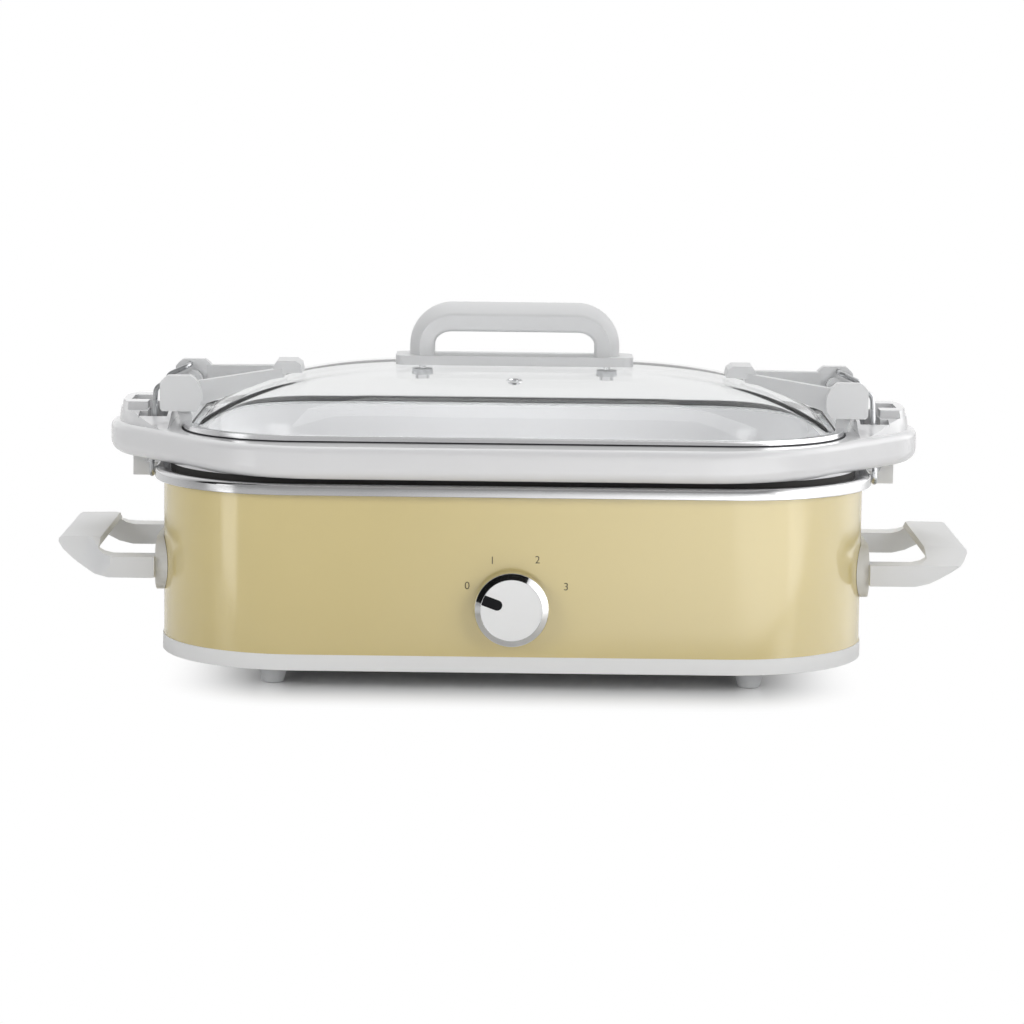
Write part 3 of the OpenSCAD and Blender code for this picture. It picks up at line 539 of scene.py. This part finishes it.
def skin(name, points, round_rows=False, round_columns=False, crisp=40.0):
    """Mesh over a grid of points (rows, columns, 3). A round side joins back to its start; doubled points
    merge, which closes poles, and the faces are turned outwards."""
    rows, columns = points.shape[:2]
    i = np.arange(rows if round_rows else rows - 1)[:, None]
    j = np.arange(columns if round_columns else columns - 1)[None, :]
    here = i * columns
    after = ((i + 1) % rows) * columns
    beside = (j + 1) % columns
    quads = np.stack([here + j, here + beside, after + beside, after + j], axis=-1).reshape(-1, 4)
    mesh = bpy.data.meshes.new(name)
    mesh.from_pydata(points.reshape(-1, 3).tolist(), [], quads.tolist())
    shape = bmesh.new()
    shape.from_mesh(mesh)
    bmesh.ops.remove_doubles(shape, verts=shape.verts, dist=1e-7)
    bmesh.ops.recalc_face_normals(shape, faces=shape.faces)
    shape.to_mesh(mesh)
    shape.free()
    smooth_faces(mesh, crisp)
    return mesh


def rounded_outline(half_x, half_y, radius, corner, side):
    """Outline of a rounded rectangle, counter-clockwise: each corner is an arc of equal steps about its
    centre, and each straight side has its own steps between two arcs."""
    turn = np.linspace(0.0, np.pi / 2, corner)
    arcs = []
    for quarter in range(4):
        sx = 1 if quarter in (0, 3) else -1
        sy = 1 if quarter < 2 else -1
        angle = turn + quarter * np.pi / 2
        arcs.append(np.stack([sx * (half_x - radius) + radius * np.cos(angle),
                              sy * (half_y - radius) + radius * np.sin(angle)], axis=-1))
    parts = []
    share = np.linspace(0.0, 1.0, side + 2)[1:-1, None]
    for quarter in range(4):
        start = arcs[quarter][-1]
        end = arcs[(quarter + 1) % 4][0]
        parts += [arcs[quarter], start + (end - start) * share]
    return np.concatenate(parts)


def hoop(name, half_x, half_y, radius, section):
    """Ring: a closed section, given as distance out from a rounded rectangle and height, carried round it"""
    rows = []
    for out, height in section:
        ring = rounded_outline(half_x + out, half_y + out, radius + out, corner=28, side=10)
        rows.append(np.concatenate([ring, np.full((len(ring), 1), height)], axis=1))
    return skin(name, np.array(rows), round_rows=True, round_columns=True)


def turned(name, profile, centre, steps=128, crisp=30.0):
    """Turned piece: a profile of radius and forward distance, spun about the front to back axis through a
    point. A profile that starts and ends on the axis closes."""
    angle = np.linspace(0.0, 2 * np.pi, steps, endpoint=False)
    radius = profile[:, 0][:, None]
    forward = profile[:, 1][:, None]
    points = np.stack([centre[0] + radius * np.cos(angle), centre[1] - forward + 0.0 * angle,
                       centre[2] + radius * np.sin(angle)], axis=-1)
    return skin(name, points, round_columns=True, crisp=crisp)


def capped_bar(name, points, crisp=40.0):
    """Closed bar: rows of points round its section, with the first and last row drawn to their middles"""
    middle = points.mean(axis=1, keepdims=True)
    first = np.broadcast_to(middle[:1], points[:1].shape)
    last = np.broadcast_to(middle[-1:], points[-1:].shape)
    return skin(name, np.concatenate([first, points, last]), round_columns=True, crisp=crisp)


class COOKER_OT_base(bpy.types.Operator):
    """Dresses the painted housing, tray, feet, trim ring and the pieces inside"""

    bl_idname = "cooker.base"
    bl_label = "Heating base"

    def execute(self, context):
        sizes = context.scene.cooker_sizes
        soften("housing", radius=0.0)
        # painted light: the tray takes the lighter copy of the moulding
        soften("base_tray", radius=0.0008, finish=finish_of("plastic_painted_lighter"))
        soften("feet", radius=0.0006)
        self.trim(sizes.metal_edge)
        paint_nodes("heating_well", "heater_band", "insulation_wrap", "well_studs", "stud_nuts",
                    "selector_switch", "switch_nut", "thermal_fuse", "fuse_clip", "cord_grommet",
                    "handle_screws")
        return {"FINISHED"}

    def trim(self, edge):
        """Trim ring: an upright side, a shoulder that is a quarter circle, a flat top and a rounded inner
        edge. Lengths across count outwards from the housing's outline."""
        wall, round_off, side, inside = 0.0026, 0.0024, 0.005, -0.011
        skirt, ledge, top = 0.1096, 0.111, 0.116
        turn = np.linspace(0.0, np.pi / 2, 13)
        shoulder = np.stack([wall + round_off * np.cos(turn),
                             top - round_off + round_off * np.sin(turn)], axis=-1)
        inner = np.stack([inside + edge - edge * np.sin(turn), top - edge + edge * np.cos(turn)], axis=-1)
        section = np.concatenate([
            [(wall, skirt), (side - edge, skirt), (side, skirt + edge)], shoulder, inner,
            [(inside, ledge), (wall, ledge)]])
        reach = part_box("top_trim_ring")[1]
        mesh = hoop("trim_ring", reach[0] - side, reach[1] - side, HOUSING_CORNER, section)
        put_piece(mesh, "base", "polished_steel", ["top_trim_ring"], finish_of("trim"))


class COOKER_OT_side_handles(bpy.types.Operator):
    """Dresses the two loop handles and their plates"""

    bl_idname = "cooker.side_handles"
    bl_label = "Side handles"

    def execute(self, context):
        sizes = context.scene.cooker_sizes
        for side in ("left", "right"):
            self.grip(side, sizes.grip_edge)
            soften(side + "_handle_plate", radius=0.0008)
        return {"FINISHED"}

    def grip(self, side, edge):
        """Loop handle: the solid, with the outer sides leaning in towards the grip's flat top"""
        name = side + "_side_handle"
        way = -1.0 if side == "left" else 1.0
        cutters = [self.lean(way, end) for end in (-1.0, 1.0)]
        mesh = rounded_mesh(cut_away(solid_shape(name), cutters), name + "_dressed", edge, crisp=30.0)
        even_normals(put_piece(mesh, "base", "white_plastic", [name]))

    def lean(self, way, end):
        """Block that is cut from one end of a grip. Its inner side is upright at the arm and, by a smooth
        step along the arm, comes to lean by a slope times the height above the arm's underside."""
        start, tip, low, high, clear = 0.222, 0.268, 0.046, 0.086, 0.1
        step_start, step_run = 0.226, 0.018
        flank, inset, slope, underside = 0.0745, 0.0005, 1.2, 0.0546
        x = np.linspace(start, tip, 16)[:, None]
        z = np.linspace(low, high, 9)[None]
        step = np.clip((x - step_start) / step_run, 0.0, 1.0)
        step = step * step * (3.0 - 2.0 * step)
        side = flank - step * (inset + slope * np.maximum(z - underside, 0.0))
        side = np.concatenate([side, np.full((len(x), 2), clear)], axis=1)
        z = np.broadcast_to(np.concatenate([z, [[high, low]]], axis=1), side.shape)
        points = np.stack([way * np.broadcast_to(x, side.shape), end * side, z], axis=-1)
        return capped_bar("cutter", points)


class COOKER_OT_dial(bpy.types.Operator):
    """Makes the turned dial and the numbers printed round it"""

    bl_idname = "cooker.dial"
    bl_label = "Dial"

    def execute(self, context):
        paint_nodes("switch_shaft")
        # painted light: the dial face takes the lighter copy of the moulding
        soften("knob_face", radius=0.00015, finish=finish_of("plastic_painted_lighter"))
        low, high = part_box("knob_shell")
        centre = ((low[0] + high[0]) / 2, high[1], (low[2] + high[2]) / 2)
        self.shell(centre)
        self.pointer(centre)
        self.numbers(context.scene.cooker_sizes.numeral_height)
        return {"FINISHED"}

    def shell(self, centre):
        """Cup of the dial: a straight side, a rounded shoulder, a wide bevel and a rounded rim round the
        white disc, with a hollow back. Each rounding is a quadratic curve between two points, drawn to a
        third."""
        share = np.linspace(0.0, 1.0, 9)[:, None]

        def curve(start, pull, end):
            start, pull, end = np.array(start), np.array(pull), np.array(end)
            return (1 - share) ** 2 * start + 2 * share * (1 - share) * pull + share ** 2 * end

        profile = np.concatenate([
            [[0.0, 0.0100], [0.0168, 0.0100]],
            curve((0.0169, 0.0109), (0.0170, 0.0116), (0.0172, 0.01145)),
            [[0.0173, 0.01136], [0.0200, 0.00893]],
            curve((0.0201, 0.00884), (0.0209, 0.0081), (0.0209, 0.0070)),
            [[0.0209, 0.0003], [0.0207, 0.0], [0.0193, 0.0], [0.0190, 0.0003], [0.0188, 0.0064],
             [0.0, 0.0064]]])
        put_piece(turned("dial_shell", profile, centre), "knob", "polished_steel", ["knob_shell"])

    def pointer(self, centre):
        """Pointer: the solid, with its outer end drawn out to the rim"""
        outer_end, rim = 0.013, 0.0170
        shape = solid_shape("knob_pointer")
        for point in shape.verts:
            reach = math.hypot(point.co.x - centre[0], point.co.z - centre[2])
            if reach > outer_end:
                grow = rim / reach
                point.co.x = centre[0] + (point.co.x - centre[0]) * grow
                point.co.z = centre[2] + (point.co.z - centre[2]) * grow
        mesh = rounded_mesh(shape, "dial_pointer", radius=0.0, crisp=30.0)
        put_piece(mesh, "knob", "black_plastic", ["knob_pointer"])

    def numbers(self, height):
        """Plain numbers on an arc round the dial, each a flat print on the front wall"""
        places = {"0": (-0.0248, 0.0117), "1": (-0.0110, 0.0260), "2": (0.0140, 0.0266),
                  "3": (0.0300, 0.0117)}
        digit_share, thickness, thinning, gap = 0.69, 0.00002, -0.00004, 0.00006
        upright = Matrix.Rotation(math.pi / 2, 4, "X")
        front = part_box("housing")[0][1] - gap
        for number, (across, up) in places.items():
            curve = bpy.data.curves.new("number_" + number, "FONT")
            curve.body = number
            curve.size = height / digit_share
            curve.align_x = "CENTER"
            curve.align_y = "CENTER"
            curve.extrude = thickness
            curve.offset = thinning
            holder = bpy.data.objects.new("number_" + number, curve)
            bpy.context.scene.collection.objects.link(holder)
            mesh = built_mesh(holder)
            bpy.data.objects.remove(holder)
            mesh.name = "dial_number_" + number
            mesh.transform(Matrix.Translation((across, front, DIAL_HEIGHT + up)) @ upright)
            put_piece(mesh, "base", "black_plastic", finish=finish_of("print"))


class COOKER_OT_crock(bpy.types.Operator):
    """Dresses the glazed crock and its ears"""

    bl_idname = "cooker.crock"
    bl_label = "Crock"

    def execute(self, context):
        self.pot(context.scene.cooker_sizes.glazed_edge)
        return {"FINISHED"}

    def pot(self, edge):
        """One piece of stoneware: the pot's solid and its ears' are joined where they meet, the raised inner
        side of each ear is closed again, and every edge is rounded as glaze does."""
        on_seam, weld = 2e-6, 2e-5
        names = ("crock", "left_crock_ear", "right_crock_ear")
        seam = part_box("right_crock_ear")[0][0]
        whole = bmesh.new()
        for name in names:
            part = solid_shape(name)
            meeting = [face for face in part.faces
                       if all(abs(abs(point.co.x) - seam) < on_seam for point in face.verts)]
            bmesh.ops.delete(part, geom=meeting, context="FACES")
            mesh = bpy.data.meshes.new("part_of_pot")
            part.to_mesh(mesh)
            part.free()
            whole.from_mesh(mesh)
            bpy.data.meshes.remove(mesh)
        bmesh.ops.remove_doubles(whole, verts=whole.verts, dist=weld)
        bmesh.ops.holes_fill(whole, edges=[line for line in whole.edges if line.is_boundary], sides=0)
        bmesh.ops.recalc_face_normals(whole, faces=whole.faces)
        mesh = rounded_mesh(whole, "crock_dressed", edge, crisp=40.0)
        whole = bmesh.new()
        whole.from_mesh(mesh)
        bmesh.ops.bisect_plane(whole, geom=[*whole.verts, *whole.edges, *whole.faces], dist=1e-6,
                               plane_co=(0.0, 0.0, GLAZE_AND_SHADE_LINE), plane_no=(0.0, 0.0, 1.0))
        whole.to_mesh(mesh)
        whole.free()
        self.mark_unglazed_shade(mesh)
        even_normals(put_piece(mesh, "crock", "stoneware", names))

    def mark_unglazed_shade(self, mesh):
        """Marks faces that look down, or outwards from the line along the crock's middle, below the rim: they
        stay unglazed, and are painted near black as shade under the rim"""
        half_line, outwards, downwards = 0.075, 0.1, -0.6
        count = len(mesh.polygons)
        centre = np.empty(count * 3, dtype=np.float32)
        normal = np.empty(count * 3, dtype=np.float32)
        mesh.polygons.foreach_get("center", centre)
        mesh.polygons.foreach_get("normal", normal)
        centre = centre.reshape(-1, 3)
        normal = normal.reshape(-1, 3)
        nearest = np.stack([np.clip(centre[:, 0], -half_line, half_line), np.zeros(count)], axis=-1)
        away = centre[:, :2] - nearest
        away = away / np.maximum(np.linalg.norm(away, axis=1, keepdims=True), 1e-6)
        facing = (normal[:, :2] * away).sum(axis=1)
        under = (centre[:, 2] < GLAZE_AND_SHADE_LINE) & ((facing > outwards) | (normal[:, 2] < downwards))
        mark = mesh.attributes.new("under_rim_shade", "FLOAT", "FACE")
        mark.data.foreach_set("value", under.astype(np.float32))


class COOKER_OT_lid_glass(bpy.types.Operator):
    """Makes the domed lid glass and dresses its band, seal and vent"""

    bl_idname = "cooker.lid_glass"
    bl_label = "Lid glass"

    def execute(self, context):
        sizes = context.scene.cooker_sizes
        self.dome(sizes)
        soften("lid_band", sizes.metal_edge, finish=finish_of("lid_band"))
        paint_nodes("lid_gasket")
        self.seals()
        self.vent(sizes)
        return {"FINISHED"}

    def seals(self):
        """Near-black strip of the seal, just clear of the band's side, painted as the shadow in the gap
        between band and rim, and the tape between glass edge and band. Each section is distance out from the
        band and height."""
        band_corner = 0.069
        lip = [(0.00004, 0.1364), (0.0005, 0.1364), (0.00055, 0.1366), (0.00055, 0.1379), (0.0003, 0.1382),
               (0.00004, 0.1382)]
        tape = [(-0.00056, 0.1375), (-0.00044, 0.1375), (-0.00044, 0.1403), (-0.00056, 0.1403)]
        half_x, half_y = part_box("lid_band")[1][:2]
        for name, section, finish in (("seal_lip", lip, "lip"), ("glass_edge_tape", tape, "edge_tape")):
            mesh = hoop(name, half_x, half_y, band_corner, section)
            put_piece(mesh, "lid", "silicone", finish=finish_of(finish))

    def vent(self, sizes):
        """Vent eyelet: a low ring of half-round section that lies on the slope of the glass, with a short
        sleeve"""
        low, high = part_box("vent_eyelet")
        ahead = (low[1] + high[1]) / 2
        reach = sizes.glass_half_width - GLASS_MARGIN
        share = abs(ahead) / reach
        height = sizes.glass_edge_height + sizes.dome_rise * (1.0 - share ** 4)
        tilt = math.atan(4.0 * sizes.dome_rise * share ** 3 / reach)
        turn = np.linspace(0.0, 2 * np.pi, 64, endpoint=False)
        section = np.array([(0.0027, -0.0014), (0.0027, 0.0002), (0.0029, 0.00045), (0.0036, 0.00055),
                            (0.0043, 0.0004), (0.0046, 0.00008), (0.0034, 0.00004), (0.0034, -0.0014)])
        points = np.stack([section[:, :1] * np.cos(turn), section[:, :1] * np.sin(turn),
                           section[:, 1:] + 0.0 * turn], axis=-1)
        mesh = skin("vent_ring", points, round_rows=True, round_columns=True)
        mesh.transform(Matrix.Translation((0.0, ahead, height)) @ Matrix.Rotation(tilt, 4, "X"))
        put_piece(mesh, "lid", "plated_steel", ["vent_eyelet"], finish_of("polished_steel"))

    def dome(self, sizes):
        """Glass shell: the outline shrinks by a share to the middle, and its height is the edge height plus
        the rise times one less the share to the fourth power. The inner face is the same, one thickness
        lower."""
        outline = rounded_outline(sizes.glass_half_length, sizes.glass_half_width, sizes.glass_corner,
                                  corner=20, side=10)
        flat = 1.0 - GLASS_MARGIN / sizes.glass_half_width
        shares = np.concatenate([np.linspace(0.0, 0.85, 24), np.linspace(0.87, flat, 10), [1.0]])
        rise = 1.0 - np.minimum(1.0, shares / flat) ** 4
        height = sizes.glass_edge_height + sizes.dome_rise * rise
        height = np.broadcast_to(height[:, None, None], (len(shares), len(outline), 1))
        outer = np.concatenate([outline[None] * shares[:, None, None], height], axis=-1)
        inner = outer[::-1] - np.array([0.0, 0.0, sizes.glass_thickness])
        mesh = skin("domed_glass", np.concatenate([outer, inner]), round_columns=True, crisp=60.0)
        put_piece(mesh, "lid", "lid_glass", ["lid_glass"])


class COOKER_OT_lid_handle(bpy.types.Operator):
    """Makes the arched lid handle and dresses its plate"""

    bl_idname = "cooker.lid_handle"
    bl_label = "Lid handle"

    def execute(self, context):
        sizes = context.scene.cooker_sizes
        self.arch(sizes)
        soften("lid_handle_plate", radius=0.0012)
        paint_nodes("lid_handle_screws", finish=finish_of("polished_steel"))
        paint_nodes("lid_handle_washers")
        return {"FINISHED"}

    def arch(self, sizes):
        """Arched bar: the path is a leg, a quarter circle, a straight and their mirror. The section is a
        crowned top whose height falls with the square of the distance from the middle down to a crease, then
        sides that lean in to a flat underside with rounded corners. The crease and the underside sink towards
        the middle of the bar."""
        foot_x, foot_z, bend_z, bend_x, radius = 0.05375, 0.1770, 0.1825, 0.036, 0.01775
        half_height, soft, lean, flank = 0.00725, 0.0028, 0.0016, 0.0004
        crease_height, crease_sink, under_sink = 0.0014, 0.0012, 0.0022
        leg = np.linspace(0.0, 1.0, 6)
        quarter = np.linspace(0.0, np.pi / 2, 18)[1:]
        bar = np.linspace(-1.0, 0.0, 14)[1:]

        def mirrored(sign, *parts):
            half_path = np.concatenate(parts)
            return np.concatenate([half_path, sign * half_path[-2::-1]])[:, None]

        path_x = mirrored(-1.0, np.full_like(leg, -foot_x), -bend_x - radius * np.cos(quarter), bend_x * bar)
        path_z = mirrored(1.0, foot_z + (bend_z - foot_z) * leg, bend_z + radius * np.sin(quarter),
                          np.full_like(bar, bend_z + radius))
        out_x = mirrored(-1.0, np.full_like(leg, -1.0), -np.cos(quarter), np.zeros_like(bar))
        out_z = mirrored(1.0, np.zeros_like(leg), np.sin(quarter), np.ones_like(bar))
        half = sizes.grip_width / 2
        bar_share = out_z ** 2
        crease = crease_height - crease_sink * bar_share
        under = -half_height - under_sink * bar_share
        across = np.linspace(-1.0, 1.0, 21)[None]
        crown = crease + (half_height - crease) * (1.0 - across ** 2)
        corner = np.linspace(0.0, np.pi / 2, 7)[None]
        side_b = np.concatenate([half - flank * np.array([[1, 2, 3, 3.4]]),
                                 half - lean - soft + soft * np.cos(corner)], axis=1)
        fall = np.array([[0.12, 0.4, 0.7, 0.9]])
        side_n = np.concatenate([crease + (under + soft - crease) * fall,
                                 under + soft - soft * np.sin(corner)], axis=1)
        n = np.concatenate([crown, side_n, side_n[:, ::-1]], axis=1)
        b = np.broadcast_to(np.concatenate([half * across, side_b, -side_b[:, ::-1]], axis=1), n.shape)
        points = np.stack([path_x + n * out_x, b, path_z + n * out_z], axis=-1)
        mesh = capped_bar("arched_handle", points, crisp=75.0)
        put_piece(mesh, "lid", "white_plastic", ["lid_handle"])


class COOKER_OT_latches(bpy.types.Operator):
    """Dresses the latch brackets, pins, levers, wires and hooks"""

    bl_idname = "cooker.latches"
    bl_label = "Latches"

    def execute(self, context):
        sizes = context.scene.cooker_sizes
        for side in ("left", "right"):
            soften(side + "_latch_bracket", radius=0.0006)
            soften(side + "_latch_lever", sizes.moulded_edge)
            soften(side + "_bail_wire", radius=0.0)
            soften(side + "_bail_hook", radius=0.0008)
            paint_nodes(side + "_pivot_pin")
        return {"FINISHED"}


class COOKER_OT_stage(bpy.types.Operator):
    """Builds the white floor, the cards that reflections show, the world, the lamps and the camera"""

    bl_idname = "cooker.stage"
    bl_label = "Studio"

    def execute(self, context):
        context.scene.view_settings.view_transform = "Standard"
        self.floor()
        self.dark_card()
        self.bright_card()
        self.world(context.scene)
        self.lamps()
        self.camera(context.scene)
        return {"FINISHED"}

    def sheet(self, name, x, y, height):
        """Level sheet over a grid of places along X and Y"""
        x, y = np.meshgrid(x, y, indexing="ij")
        return skin(name, np.stack([x, y, np.full_like(x, height)], axis=-1))

    def floor(self):
        """White floor: a plain square. Under and beside the cooker it takes shadow and a faint reflection;
        within a few centimetres it fades to the plain white of the background."""
        half, height = 6.0, -0.0002
        clear_x, fade_x, clear_y, fade_y = 0.120, 0.080, 0.095, 0.085
        side = np.linspace(-half, half, 9)
        mesh = self.sheet("floor", side, side, height)
        material, bench = new_bench("white_floor")
        place = bench.split(bench.place())
        aside = ((place.unsigned() - clear_x) / fade_x).at_least(0.0)
        ahead = ((place.part("Y").unsigned() - clear_y) / fade_y).at_least(0.0)
        fade = bench.ramp((aside ** 2.0 + ahead ** 2.0) ** 0.5, 0.0, 1.0)
        mottle = bench.noise(30.0, 2.0)
        lit = bench.surface(
            {"Specular IOR Level": 0.5},
            {"Base Color": bench.mix(mottle, grey(0.89), grey(0.92)), "Roughness": 0.14 + 0.05 * mottle})
        white = bench.glow(grey(1.0))
        bench.show(bench.node("ShaderNodeMixShader", None, {0: fade * bench.seen(), 1: lit, 2: white}))
        self.put_stage(mesh, material)

    def put_stage(self, mesh, material):
        """Adds a piece of the studio, which is no part of the cooker"""
        mesh.materials.append(material)
        piece = bpy.data.objects.new(mesh.name, mesh)
        bpy.context.scene.collection.objects.link(piece)
        return piece

    def dark_card(self):
        """Black card bent in an arc over the left of the cooker, level with its front. Only reflections show
        it."""
        start, end, reach = 58.0, 176.0, 0.95
        front, back = -0.44, -0.14
        angle = np.radians(np.linspace(start, end, 40))[:, None]
        depth = np.linspace(front, back, 3)[None]
        points = np.stack([reach * np.cos(angle) + 0 * depth, depth + 0 * angle,
                           DIAL_HEIGHT + reach * np.sin(angle) + 0 * depth], axis=-1)
        material, bench = new_bench("black_card")
        grain = bench.noise(300.0, 2.0)
        bench.show(bench.surface(
            {"Specular IOR Level": 0.0},
            {"Base Color": bench.mix(grain, grey(0.006), grey(0.012)), "Roughness": 0.9 + 0.1 * grain}))
        self.only_reflected(self.put_stage(skin("dark_card", points), material))

    def bright_card(self):
        """Card that lies in front and grows brighter to the right, with a bright ray out from each front
        corner of the cooker, which gives the corners an upright highlight. Only reflections show it."""
        half, far, near, height = 0.9, -1.35, -0.28, 0.004
        corner_x, corner_y = 0.160, -0.115
        ray_x, ray_y = 0.866, 0.5
        material, bench = new_bench("bright_card")
        place = bench.split(bench.place())
        glow = bench.mix(bench.ramp(place, -0.10, 0.25, kind="LINEAR"), grey(0.66), grey(2.20))
        aside = place.unsigned() - corner_x
        ahead = corner_y - place.part("Y")
        ray = ((ray_y * aside - ray_x * ahead) / (ray_x * aside + ray_y * ahead)).unsigned()
        glow = bench.mix(bench.ramp(ray, 0.09, 0.17, 0.55, 0.0), glow, grey(3.2))
        bench.show(bench.glow(glow))
        mesh = self.sheet("bright_card", np.linspace(-half, half, 3), np.linspace(far, near, 3), height)
        self.only_reflected(self.put_stage(mesh, material))

    def only_reflected(self, card):
        """Hides a card from everything but reflections"""
        card.visible_camera = False
        card.visible_diffuse = False
        card.visible_transmission = False
        card.visible_shadow = False

    def world(self, scene):
        """White to the camera and through glass, a soft ambient light elsewhere. Reflections see a room that
        is white behind and to the right and grey in front and to the left, with a bright upright strip on
        either side: its direction in X and Y, where it starts and is full, and its light."""
        ambient = 0.25
        strips = ((-0.895, -0.43, 0.955, 0.985, 1.3), (0.77, -0.64, 0.965, 0.99, 1.7))
        world = bpy.data.worlds.new("studio")
        world.use_nodes = True
        scene.world = world
        bench = Bench(world.node_tree)
        x = bench.split(bench.node("ShaderNodeTexCoord", out="Generated"))
        y = x.part("Y")
        room = bench.ramp(0.3 * x + y, -0.5, 0.5, 0.40, 1.0) + bench.ramp(x, 0.45, 0.85, 0.0, 1.8)
        for way_x, way_y, start, full, light in strips:
            room = room + bench.ramp(way_x * x + way_y * y, start, full, 0.0, light)
        gloss = bench.node("ShaderNodeLightPath", out="Is Glossy Ray")
        seen = bench.seen()
        level = (ambient + gloss * (room - ambient)) * (1.0 - seen) + seen
        back = bench.node("ShaderNodeBackground", None, {"Color": grey(1.0), "Strength": level})
        bench.node("ShaderNodeOutputWorld", None, {"Surface": back})

    def lamps(self):
        """Area lamps: name, place, target, width, height and power. Reflections leave them out."""
        plan = [
            ("key", (0.1, 0.75, 2.2), (0.0, 0.0, 0.08), 1.6, 1.0, 26.0),
            ("fill_right", (0.95, -1.0, 0.55), (0.1, 0.0, 0.08), 0.7, 0.7, 5.4),
            ("fill_left", (-0.95, -1.0, 0.55), (-0.1, 0.0, 0.08), 0.7, 0.7, 5.2),
        ]
        for name, place, target, width, height, power in plan:
            lamp = bpy.data.lights.new(name, "AREA")
            lamp.shape = "RECTANGLE"
            lamp.size = width
            lamp.size_y = height
            lamp.energy = power
            holder = bpy.data.objects.new(name, lamp)
            holder.location = place
            holder.visible_glossy = False
            holder.rotation_euler = (Vector(target) - Vector(place)).to_track_quat("-Z", "Y").to_euler()
            bpy.context.scene.collection.objects.link(holder)

    def camera(self, scene):
        """Long lens a little above level, aimed at the middle of the cooker, with the photograph's small
        roll. The shifts are pixels of a picture of the given width."""
        distance, width = 2.144, 1024
        rise = math.radians(7.436)
        roll = Matrix.Rotation(math.radians(0.684), 3, "Z")
        aim = Vector((0.0, 0.0, 0.100))
        away = Vector((0.0, -math.cos(rise), math.sin(rise)))
        lens = bpy.data.cameras.new("camera")
        lens.sensor_width = 36.0
        lens.lens = 128.55
        lens.shift_x = -1.1 / width
        lens.shift_y = -26.9 / width
        lens.clip_end = 50.0
        holder = bpy.data.objects.new("camera", lens)
        turn = (-away).to_track_quat("-Z", "Y").to_matrix() @ roll
        holder.matrix_world = Matrix.Translation(aim + away * distance) @ turn.to_4x4()
        scene.collection.objects.link(holder)
        scene.camera = holder


class COOKER_PT_panel(bpy.types.Panel):
    """Lists the steps that dress the cooker"""

    bl_idname = "COOKER_PT_panel"
    bl_label = "Slow cooker"
    bl_space_type = "VIEW_3D"
    bl_region_type = "UI"
    bl_category = "Slow cooker"

    def draw(self, context):
        for step in STEPS:
            self.layout.operator(step.bl_idname)
        for group in (context.scene.cooker_sizes, context.scene.cooker_colours):
            box = self.layout.box()
            for name in group.__annotations__:
                box.prop(group, name)


STEPS = (COOKER_OT_stage, COOKER_OT_base, COOKER_OT_side_handles, COOKER_OT_dial, COOKER_OT_crock,
         COOKER_OT_lid_glass, COOKER_OT_lid_handle, COOKER_OT_latches)
CLASSES = (CookerSizes, CookerColours, *STEPS, COOKER_PT_panel)


def register():
    for item in CLASSES:
        bpy.utils.register_class(item)
    bpy.types.Scene.cooker_sizes = bpy.props.PointerProperty(type=CookerSizes)
    bpy.types.Scene.cooker_colours = bpy.props.PointerProperty(type=CookerColours)


def unregister():
    del bpy.types.Scene.cooker_colours
    del bpy.types.Scene.cooker_sizes
    for item in reversed(CLASSES):
        bpy.utils.unregister_class(item)


def main():
    """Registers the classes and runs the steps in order"""
    register()
    bpy.ops.cooker.stage()
    bpy.ops.cooker.base()
    bpy.ops.cooker.side_handles()
    bpy.ops.cooker.dial()
    bpy.ops.cooker.crock()
    bpy.ops.cooker.lid_glass()
    bpy.ops.cooker.lid_handle()
    bpy.ops.cooker.latches()


if __name__ == "__main__":
    main()
